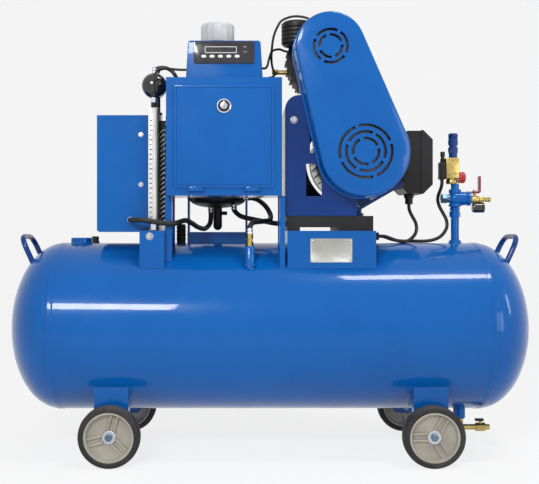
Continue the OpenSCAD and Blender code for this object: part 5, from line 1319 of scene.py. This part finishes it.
# %% Valve block and relief valve
block_low, block_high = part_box("valve_block")
RED_X = 497 * MM
RED_Z = 710 * MM
BLOCK_X = 480 * MM
BLOCK_FOOT = mm([(0, 0), (13, 0), (14.5, 2), (14.5, 9), (13, 11), (12.5, 15), (0, 15)])
RED_ROWS = ((2, 0, 0), (14, 0, 1), (15, 1.5, 1), (15, 5.5, 1), (13.6, 6.5, 0), (13.6, 8, 0), (15, 9, 1),
            (15, 15.5, 1), (12, 18.4, 0.5), (3, 19, 0))
bm = bmesh.new()
block(bm, (block_low.x, block_low.y, block_low.z + 14 * MM),
      (RED_X, block_high.y, block_high.z), 1.5 * MM, 3)
lathe(bm, BLOCK_FOOT, (BLOCK_X, 0, block_low.z), steps=40)
for s in (-1, 1):
    hexagon(bm, (BLOCK_X + s * 8 * MM, block_low.y, block_low.z + 28 * MM), (0, -1, 0), 6 * MM, 1 * MM)
make_piece("manifold_block", bm, FINISH["brass"], replaces=["valve_block"])
bm = bmesh.new()
fluted(bm, [(r * MM, h * MM, share) for r, h, share in RED_ROWS], Vector((0, 0, 0)), 14, 1.1 * MM, 112)
to_side = Matrix.Translation((RED_X - 0.3 * MM, 0, RED_Z)) @ Matrix.Rotation(math.pi / 2, 4, "Y")
bmesh.ops.transform(bm, matrix=to_side, verts=bm.verts)
make_piece("red_cap", bm, FINISH["signal_red"], replaces=["valve_block"])

relief_low, relief_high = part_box("relief_valve")
RELIEF_FROM = 761.3 * MM
RELIEF_R = (relief_high.x - relief_low.x) / 2
relief_at = Vector(((relief_low.x + relief_high.x) / 2, 0, RELIEF_FROM))
top = relief_high.z - RELIEF_FROM
SLEEVE_BANDS = ((1.5, 0, 0), (1.5, 13, 0), (0.3, 14, 0), (0, 15, 1), (0, 27, 1), (0.6, 28, 0), (2.4, 29, 0),
                (2.4, 33, 0), (0.6, 34, 0), (0, 35, 1), (0, 47, 1), (0.5, 48, 0), (1.2, 49.5, 0),
                (0.4, 51, 0))
bm = bmesh.new()
rows = [(1 * MM, 0, 0)]
rows += [(RELIEF_R - back * MM, up * MM, share) for back, up, share in SLEEVE_BANDS]
rows += [(RELIEF_R, top - 3 * MM, 0), (RELIEF_R - 2 * MM, top - 0.6 * MM, 0), (RELIEF_R - 5 * MM, top, 0),
         (3 * MM, top, 0)]
fluted(bm, rows, relief_at, 22, 1 * MM, 176)
make_piece("relief_sleeve", bm, FINISH["navy_and_shade"], "relief", ["relief_valve"])
bm = bmesh.new()
lathe(bm, mm([(0, -19.6), (4.6, -19.6), (5, -19), (5, 0), (0, 0)]), relief_at, steps=28)
make_piece("relief_pin", bm, FINISH["steel"], "relief", ["relief_valve"])
print("relief valve", round(top, 3), "m tall")

# %% [markdown]
# The ball valve is turned brass with two hexagons and a barbed nipple for the hose. All of it but the
# hexagons is one profile, because body, groove and barbs are turned from one bar on the real valve too.

# %% Ball valve
valve_low, valve_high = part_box("outlet_valve")
VALVE_Z = 652 * MM
BODY_END = 560 * MM
LEVER_X = 541 * MM
BORE_R = 4 * MM
BORE_DEEP = 9 * MM
VALVE_BODY = mm([(0, 0), (10, 0), (10, 3), (8.6, 4), (9.8, 8), (10, 12), (9.8, 17), (8.4, 21), (8.4, 22),
                 (10, 23)])
VALVE_BARBS = mm([(10, -1), (9, 0), (5, 0), (5, 2), (6.5, 4), (5.2, 9), (6.5, 11), (5.2, 16), (6.5, 18),
                  (5.6, 22)])
VALVE_STEM = mm([(0, 0), (5, 0), (5, 12), (4, 13), (4, 16), (0, 16)])
bm = bmesh.new()
span = BODY_END - valve_low.x
whole = valve_high.x - valve_low.x
profile = VALVE_BODY + [(r, span + along) for r, along in VALVE_BARBS]
profile += [(5 * MM, whole), (BORE_R, whole), (BORE_R, span - BORE_DEEP), (0, span - BORE_DEEP)]
lathe(bm, profile, (valve_low.x, 0, VALVE_Z), (1, 0, 0), 40)
hexagon(bm, (valve_low.x + 0.5 * MM, 0, VALVE_Z), (1, 0, 0), 19 * MM, 4 * MM)
hexagon(bm, (BODY_END - 8 * MM, 0, VALVE_Z), (1, 0, 0), 19 * MM, 7 * MM)
lathe(bm, VALVE_STEM, (LEVER_X, 0, VALVE_Z), steps=28)
make_piece("ball_valve", bm, FINISH["brass"], replaces=["outlet_valve"])
print("ball valve", round(whole, 3), "m long")

# %% [markdown]
# The valve's lever is a bent strip dipped in red vinyl. A bent box would have hard edges, so a soft section
# is carried along the bent line. Its nut turns with it.

# %% Valve lever
lever_low, lever_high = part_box("outlet_lever")
LEVER_T = 5.5 * MM
LEVER_BEND = 5 * MM
LEVER_HALF = 7 * MM
LEVER_END_HALF = 5.5 * MM
LEVER_SECTION = ((1, 0.5), (0.86, 1), (-0.86, 1), (-1, 0.5), (-1, -0.5), (-0.86, -1), (0.86, -1), (1, -0.5))
grip_x = lever_high.x - LEVER_T / 2
grip_z = lever_low.z + LEVER_T / 2
lever_line = round_corners([(lever_low.x, 0, grip_z), (grip_x, 0, grip_z), (grip_x, 0, lever_high.z)],
                           LEVER_BEND)
last = len(lever_line) - 1
bm = bmesh.new()
rings = []
for i, p in enumerate(lever_line):
    ahead = (lever_line[min(i + 1, last)] - lever_line[max(i - 1, 0)]).normalized()
    up = Vector((0, 1, 0)).cross(ahead)
    half_w = LEVER_HALF if i else LEVER_END_HALF
    rings.append([bm.verts.new(p + Vector((0, half_w * k, 0)) + up * t * LEVER_T / 2)
                  for k, t in LEVER_SECTION])
skin(bm, rings)
make_piece("lever_grip", bm, FINISH["red"], "outlet_handle", ["outlet_lever"])
bm = bmesh.new()
hexagon(bm, (LEVER_X, 0, lever_low.z + LEVER_T), (0, 0, 1), 8 * MM, 3.5 * MM, 5.5 * MM)
make_piece("lever_nut", bm, FINISH["steel"], "outlet_handle", ["outlet_lever"])
print("lever swept along", len(lever_line), "points")

# %% [markdown]
# The small gauge hangs below the valve like a bowl, and the switch beside the brass block has a knob with a
# waist. Both are black, but the bowl is polished and the switch has the dull grain of a moulding.

# %% Bowl gauge and outlet switch
BOWL_X = 534 * MM
BOWL_Z = 631 * MM
BOWL_ROWS = mm([(0, 0), (9, 0), (12, 1.5), (13.5, 5), (13.5, 24), (12.6, 25), (13.5, 26), (13.5, 30),
                (12.5, 31), (11.5, 31), (11, 29), (0, 29)])
NECK_H = VALVE_Z - 9 * MM - BOWL_Z
KNOB_ROWS = mm([(0, 0), (5, 0), (6, 1), (6, 10), (4.4, 11), (4.4, 14), (6, 15), (6, 26), (5, 28), (0, 28)])
bm = bmesh.new()
lathe(bm, BOWL_ROWS, (BOWL_X, 0, BOWL_Z), (1, 0, 0), 48)
lathe(bm, [(0, 0), (5 * MM, 0), (5 * MM, NECK_H), (0, NECK_H)], (LEVER_X, 0, BOWL_Z), steps=28)
make_piece("gauge_bowl", bm, bowl_black, replaces=["outlet_gauges"])
bm = bmesh.new()
block(bm, (447 * MM, -12 * MM, 705 * MM), (463 * MM, 12 * MM, 750 * MM), 1.5 * MM, 3)
for z in (712, 743):
    hexagon(bm, (452 * MM, -12 * MM, z * MM), (0, -1, 0), 4 * MM, 1 * MM)
lathe(bm, KNOB_ROWS, (456.7 * MM, 0, 750 * MM), steps=32)
make_piece("outlet_switch", bm, FINISH["black_plastic"], replaces=["outlet_gauges"])
print("bowl gauge neck", round(NECK_H, 3), "m tall")

# %% [markdown]
# Black hoses and thin leads join the pieces behind and beside the box. They follow the routes that the
# construction fixes. The smooth curve through those points is swept with more sides, and a
# crimped sleeve or a hexagon nut is put where a hose meets a fitting.

# %% Hoses and leads
HOSES = {
    "feed": (6.5, [(-350, -100, 597), (-350, -108, 597), (-350, -116, 597), (-345, -128, 597),
                   (-332, -140, 597), (-308, -147, 596), (-272, -147, 590), (-240, -136, 588),
                   (-214, -100, 596), (-200, -60, 590), (-186, -20, 580), (-170, 20, 576), (-158, 47, 588),
                   (-155, 55, 604), (-155, 57, 618), (-155, 57, 625), (-155, 57, 632.4)]),
    "return": (6.5, [(-52, -140, 563), (-52, -140, 570), (-52, -139, 577), (-44, -129, 590),
                     (-18, -95, 594), (0, -52, 598), (3, -20, 612), (-8, 6, 634), (-26, 31, 651),
                     (-42, 44, 657.5), (-53.6, 47.8, 658), (-65, 51.5, 658)]),
    "bridge": (6.5, [(-92, 30, 639.4), (-92, 30, 632), (-91, 29, 624), (-74, 14, 609), (-40, -2, 600),
                     (-8, -8, 594), (14, -6, 590), (26, -6, 589), (35, -6, 589), (43, -6, 589)]),
    "gauge": (3, [(-290.5, -122, 915), (-290.5, -122, 925), (-290.5, -122, 940), (-289, -121, 958),
                  (-280, -114, 972), (-268, -106, 977), (-256, -98, 978)]),
    "switch": (3, [(-284, -66, 972.2), (-283, -67, 977), (-276, -75, 981), (-256, -98, 978),
                   (-240, -100, 976), (-225, -100, 975), (-215, -100, 975), (-207.8, -100, 975)]),
    "fill": (5, [(-295, -58, 973.3), (-295, -58, 976), (-295, -58, 979), (-286, -58, 987), (-266, -60, 987),
                 (-250, -62, 978), (-239, -64, 962), (-238, -64, 954), (-238, -64, 950), (-238, -64, 946)]),
    "guard": (3, [(114, -130, 1082), (114, -125, 1082), (114, -120, 1082), (111, -114, 1087),
                  (102, -111, 1097), (84, -110, 1105), (56, -108, 1107), (30, -106, 1098),
                  (18, -104, 1082), (9, -98, 1060), (5, -90, 1035), (4, -70, 1008), (8, -36, 992),
                  (14, -10, 985)]),
    "flange": (3, [(47.5, -27, 1035.4), (42.6, -27, 1036.6), (37.8, -27, 1037.8), (24, -36, 1040),
                   (6, -58, 1030), (-2, -74, 1008), (-6, -86, 990), (-10, -91, 982), (-13, -92, 980),
                   (-17, -92, 980), (-21.5, -92, 980)]),
    "box": (3, [(16, -10, 980), (8, -20, 971), (-3, -33, 966), (-6, -36, 958), (-6, -36, 952),
                (-6, -36, 946)]),
}
HOSE_STEPS = 6
SLEEVE_LEN = 16 * MM
SLEEVE_WALL = 1.4 * MM
SLEEVE_ROWS = mm([(0, 0.2), (0, 3), (0.7, 4), (0.7, 6), (0, 7), (0, 10), (0.7, 11), (0.7, 13), (0, 14)])
SLEEVED_FROM = 4
sleeves = bmesh.new()
for word, (r, points) in HOSES.items():
    bm = bmesh.new()
    line = smooth_path([Vector(p) * MM for p in points], HOSE_STEPS)
    sweep(bm, line, r * MM, 20 if r > SLEEVED_FROM else 12)
    make_piece("line_" + word, bm, FINISH["rubber"], replaces=["hoses"])
    if r > SLEEVED_FROM:
        inner, outer = r * MM - 1 * MM, r * MM + SLEEVE_WALL
        rows = [(inner, 0.2 * MM)] + [(outer - back, along) for back, along in SLEEVE_ROWS]
        for end, ahead in ((line[0], line[2] - line[0]), (line[-1], line[-3] - line[-1])):
            lathe(sleeves, rows + [(inner, SLEEVE_LEN)], end, ahead, 24, closed=True)
make_piece("hose_sleeves", sleeves, FINISH["steel"], replaces=["hoses"])
print(len(HOSES), "lines with their sleeves")

# %% [markdown]
# Where the lines end stand a strainer with four ribs and the brass unions. A union is a hexagon with a
# turned collar: one stands on the receiver's stub, and one lies at the left of the scroll housing.

# %% Strainer and unions
STRAINER = (-234 * MM, 45 * MM)
UNION_COLLAR = mm([(0, 0), (6.4, 0), (6.4, 4), (7.6, 5), (7.6, 8), (0, 8)])
UNION_PIPE = mm([(0, 0), (5.5, 0), (6, 2), (6, 40), (0, 40)])
bm = bmesh.new()
profile = [(0, -60 * MM), (12 * MM, -60 * MM), (12 * MM, 8 * MM)]
for i in range(4):
    z = (10 + 10 * i) * MM
    profile += [(12 * MM, z), (14 * MM, z + 0.4 * MM), (14 * MM, z + 2 * MM), (12 * MM, z + 2.4 * MM)]
profile += [(12 * MM, 47 * MM), (10 * MM, 50 * MM), (0, 50 * MM)]
lathe(bm, profile, (*STRAINER, TANK_TOP), steps=40)
make_piece("strainer", bm, FINISH["casting"], replaces=["hoses"])
bm = bmesh.new()
check_low = 532 * MM
hexagon(bm, (*STUB, check_low), (0, 0, 1), 16 * MM, 12 * MM)
lathe(bm, UNION_COLLAR, (*STUB, check_low + 11 * MM), steps=28)
hexagon(bm, (*STUB, check_low + 19 * MM), (0, 0, 1), 15 * MM, 11.5 * MM)
lathe(bm, UNION_PIPE, (7.5 * MM, -8 * MM, 985 * MM), (1, 0, 0), 28)
hexagon(bm, (14 * MM, -8 * MM, 985 * MM), (1, 0, 0), 13.5 * MM, 9 * MM)
make_piece("brass_unions", bm, FINISH["brass"], replaces=["hoses"])
print("strainer and unions")

# %% [markdown]
# Small fasteners and plates finish the covers: rivets and a blank data plate on the saddle, screws on the
# duct, one bolt on the stand and one on the pedestal. The plate stays blank. These pieces are new, so they
# replace no node and only lie on what carries them.

# %% Plate and screws
plate_metal = bare_metal("data_plate", (0.46, 0.46, 0.43), (0.40, 0.40, 0.38), (0.34, 0.5),
                         (1200.0, 0.06, 0.05), edge=0.2)
PLATE = (97 * MM, 200 * MM, 492 * MM, 551 * MM)
PLATE_ROWS = mm([(0, 0), (0, -0.5), (0.3, -0.8), (2.2, -0.8), (2.6, -0.5)])
RIVET_IN = 5 * MM
RIVET_ROWS = mm([(0, 0), (2.6, 0), (2.5, 0.7), (1.8, 1.4), (0.8, 1.75), (0, 1.8)])
bm = bmesh.new()
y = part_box("motor_saddle")[0].y
loft(bm, rounded_rect(*PLATE, 3 * MM), [(inset, y + back) for inset, back in PLATE_ROWS])
make_piece("data_plate", bm, plate_metal)
bm = bmesh.new()
for x in (PLATE[0] + RIVET_IN, PLATE[1] - RIVET_IN):
    for z in (PLATE[2] + RIVET_IN, PLATE[3] - RIVET_IN):
        lathe(bm, RIVET_ROWS, (x, y - 0.4 * MM, z), (0, -1, 0), 20)
make_piece("plate_rivets", bm, FINISH["steel"])

SCREWS = {
    "duct_screws": ("cooling_duct", [(-325, 686), (-325, 812)], 9, 4),
    "stand_bolt": ("support_frame", [(-298, 556)], 13, 6),
    "pedestal_bolt": ("pedestal", [(58, 845)], 13, 7),
}
for word, (node, places, across, high) in SCREWS.items():
    bm = bmesh.new()
    for x, z in places:
        hexagon(bm, (x * MM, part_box(node)[0].y, z * MM), (0, -1, 0), across * MM, high * MM,
                0.72 * across * MM)
    make_piece(word, bm, FINISH["steel"])
print("plate, rivets and", sum(len(row[1]) for row in SCREWS.values()), "screws and bolts")

# %% [markdown]
# Between the radiator's tubes lies folded strip: one long zigzag for each gap, as the real fins are rolled.
# The core's side is closed by a black plate with bright slanted strokes, the edges of the strip behind it.
# An array modifier could repeat one fold, but the loop closes each strip into one solid.

# %% Radiator fins
core_low, core_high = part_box("radiator_core")
CORE_HEAD = 14 * MM
CORE_ROWS = 17
CORE_TUBE = 6 * MM
FIN_PITCH = 4.5 * MM
FIN_T = 0.5 * MM
fin_from, fin_to = core_low.y + 4 * MM, core_high.y - 4 * MM
pitch = (core_high.z - core_low.z - 2 * CORE_HEAD) / CORE_ROWS
bm = bmesh.new()
folds = int((fin_to - fin_from) / FIN_PITCH)
for row in range(CORE_ROWS + 1):
    z = core_low.z + CORE_HEAD + row * pitch
    low_z = z - pitch / 2 + CORE_TUBE / 2 if row else z
    high_z = z + pitch / 2 - CORE_TUBE / 2 if row < CORE_ROWS else z
    strip = []
    for i in range(folds + 1):
        fy = fin_from + i * FIN_PITCH
        fz = high_z - FIN_T if i % 2 else low_z
        section = ((core_low.x + 2 * MM, 0), (core_high.x - 2 * MM, 0),
                   (core_high.x - 2 * MM, FIN_T), (core_low.x + 2 * MM, FIN_T))
        strip.append([bm.verts.new((x, fy, fz + t)) for x, t in section])
    skin(bm, strip)
make_piece("radiator_fins", bm, FINISH["aluminium"])
SIDE_X = (core_low.x + 3 * MM, core_high.x - 1 * MM)
SIDE_PITCH = 12 * MM
bm = bmesh.new()
block(bm, (SIDE_X[0], core_low.y - 0.8 * MM, core_low.z + CORE_HEAD),
      (SIDE_X[1], core_low.y, core_high.z - CORE_HEAD), 0.3 * MM)
make_piece("core_side", bm, FINISH["black_paint"])
bm = bmesh.new()
strokes = int((core_high.z - core_low.z - 2 * CORE_HEAD) / SIDE_PITCH) - 1
for i in range(strokes):
    z = core_low.z + CORE_HEAD + (i + 0.4) * SIDE_PITCH
    sweep(bm, [Vector((SIDE_X[1] - 13 * MM, core_low.y - 1 * MM, z)),
               Vector((SIDE_X[1] - 1 * MM, core_low.y - 1 * MM, z + 0.7 * SIDE_PITCH))], 1.2 * MM, 8)
make_piece("core_side_edges", bm, FINISH["aluminium"])
print("fins with", folds, "folds in", CORE_ROWS + 1, "strips")

# %% [markdown]
# The machine stands on a pale sweep: a floor that curves up into a backdrop, so no horizon shows.
# Its paper gives off light only for rays that come from the camera, off gloss or through glass. It shows
# near white that way without more light on the machine, and the machine's shadow still darkens it.

# %% Stage
SWEEP_HALF_W = 9.0
SWEEP_FRONT = -7.0
SWEEP_BACK = 3.5
SWEEP_R = 1.6
SWEEP_TOP = 7.0
SWEEP_STEPS = 16
SWEEP_GLOW = 0.80


def make_sweep():
    bm = bmesh.new()
    line = [(SWEEP_FRONT, 0.0), (SWEEP_BACK - SWEEP_R, 0.0)]
    for i in range(1, SWEEP_STEPS + 1):
        a = math.pi / 2 * i / SWEEP_STEPS
        line.append((SWEEP_BACK - SWEEP_R + SWEEP_R * math.sin(a), SWEEP_R - SWEEP_R * math.cos(a)))
    line.append((SWEEP_BACK, SWEEP_TOP))
    rows = [[bm.verts.new((s * SWEEP_HALF_W, y, z)) for s in (-1, 1)] for y, z in line]
    for a, b in zip(rows, rows[1:]):
        bm.faces.new([a[0], a[1], b[1], b[0]])
    mesh = bpy.data.meshes.new("sweep")
    bm.to_mesh(mesh)
    bm.free()
    mesh.shade_smooth()
    sweep_obj = bpy.data.objects.new("sweep", mesh)
    bpy.context.scene.collection.objects.link(sweep_obj)
    return sweep_obj


def background_rays(tree):
    """One for the rays that show a background: from the camera, off gloss or through glass."""
    path = tree.nodes.new("ShaderNodeLightPath")
    seen = path.outputs["Is Camera Ray"]
    for ray in ("Is Glossy Ray", "Is Transmission Ray"):
        either = tree.nodes.new("ShaderNodeMath")
        either.operation = "MAXIMUM"
        link(tree, seen, either.inputs[0])
        link(tree, path.outputs[ray], either.inputs[1])
        seen = either.outputs[0]
    return seen


def sweep_paper():
    material = bpy.data.materials.new("sweep_paper")
    material.use_nodes = True
    tree = material.node_tree
    shader = tree.nodes["Principled BSDF"]
    shader.inputs["Base Color"].default_value = (0.86, 0.86, 0.86, 1)
    shader.inputs["Roughness"].default_value = 0.9
    shader.inputs["Specular IOR Level"].default_value = 0.1
    glow = tree.nodes.new("ShaderNodeEmission")
    share = tree.nodes.new("ShaderNodeMath")
    share.operation = "MULTIPLY"
    share.inputs[1].default_value = SWEEP_GLOW
    mix = tree.nodes.new("ShaderNodeMixShader")
    link(tree, background_rays(tree), share.inputs[0])
    link(tree, share.outputs[0], mix.inputs[0])
    link(tree, shader.outputs[0], mix.inputs[1])
    link(tree, glow.outputs[0], mix.inputs[2])
    link(tree, mix.outputs[0], tree.nodes["Material Output"].inputs["Surface"])
    return material


sweep_object = make_sweep()
sweep_object.data.materials.append(sweep_paper())
sweep_object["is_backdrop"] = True
print("sweep", 2 * SWEEP_HALF_W, "m wide")

# %% [markdown]
# The light is a plain studio. The key, high at the front left, draws the white streak along the receiver. A
# strip overhead at the right brightens the tops there, a wide fill at the front right lights the faces from
# outside their mirror direction, and a small lamp lights the right end. The world adds an even base, and
# shows paler to the rays of camera, gloss and glass than it lights.

# %% Light
WORLD_LEVEL = 0.32
WORLD_SEEN = 0.85


def softbox(name, at, aim, size, power):
    """A rectangular area lamp that faces a point."""
    data = bpy.data.lights.new(name, "AREA")
    data.shape = "RECTANGLE"
    data.size, data.size_y = size
    data.energy = power
    lamp = bpy.data.objects.new(name, data)
    lamp.location = at
    lamp.rotation_mode = "QUATERNION"
    lamp.rotation_quaternion = (Vector(at) - Vector(aim)).to_track_quat("Z", "Y")
    bpy.context.scene.collection.objects.link(lamp)


softbox("key", (-1.05, -3.0, 2.05), (-0.35, 0.0, 0.42), (1.15, 0.45), 60)
softbox("top_strip", (0.86, -0.85, 2.9), (0.71, 0.0, 0.6), (0.8, 0.3), 22)
softbox("front_fill", (2.7, -3.7, 1.0), (0.0, 0.0, 0.6), (1.3, 1.7), 26)
softbox("right_side", (3.25, -1.17, 1.6), (0.3, 0.0, 0.6), (0.35, 1.2), 14)

world = bpy.data.worlds.new("studio")
bpy.context.scene.world = world
world.use_nodes = True
sky = world.node_tree.nodes["Background"]
sky.inputs["Color"].default_value = (1, 1, 1, 1)
level = world.node_tree.nodes.new("ShaderNodeMapRange")
level.inputs["To Min"].default_value = WORLD_LEVEL
level.inputs["To Max"].default_value = WORLD_SEEN
link(world.node_tree, background_rays(world.node_tree), level.inputs["Value"])
link(world.node_tree, level.outputs["Result"], sky.inputs["Strength"])
print("world level", WORLD_LEVEL)

# %% Sizes and finish
low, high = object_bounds()
print("dressed box", [round(v, 3) for v in (*low, *high)])
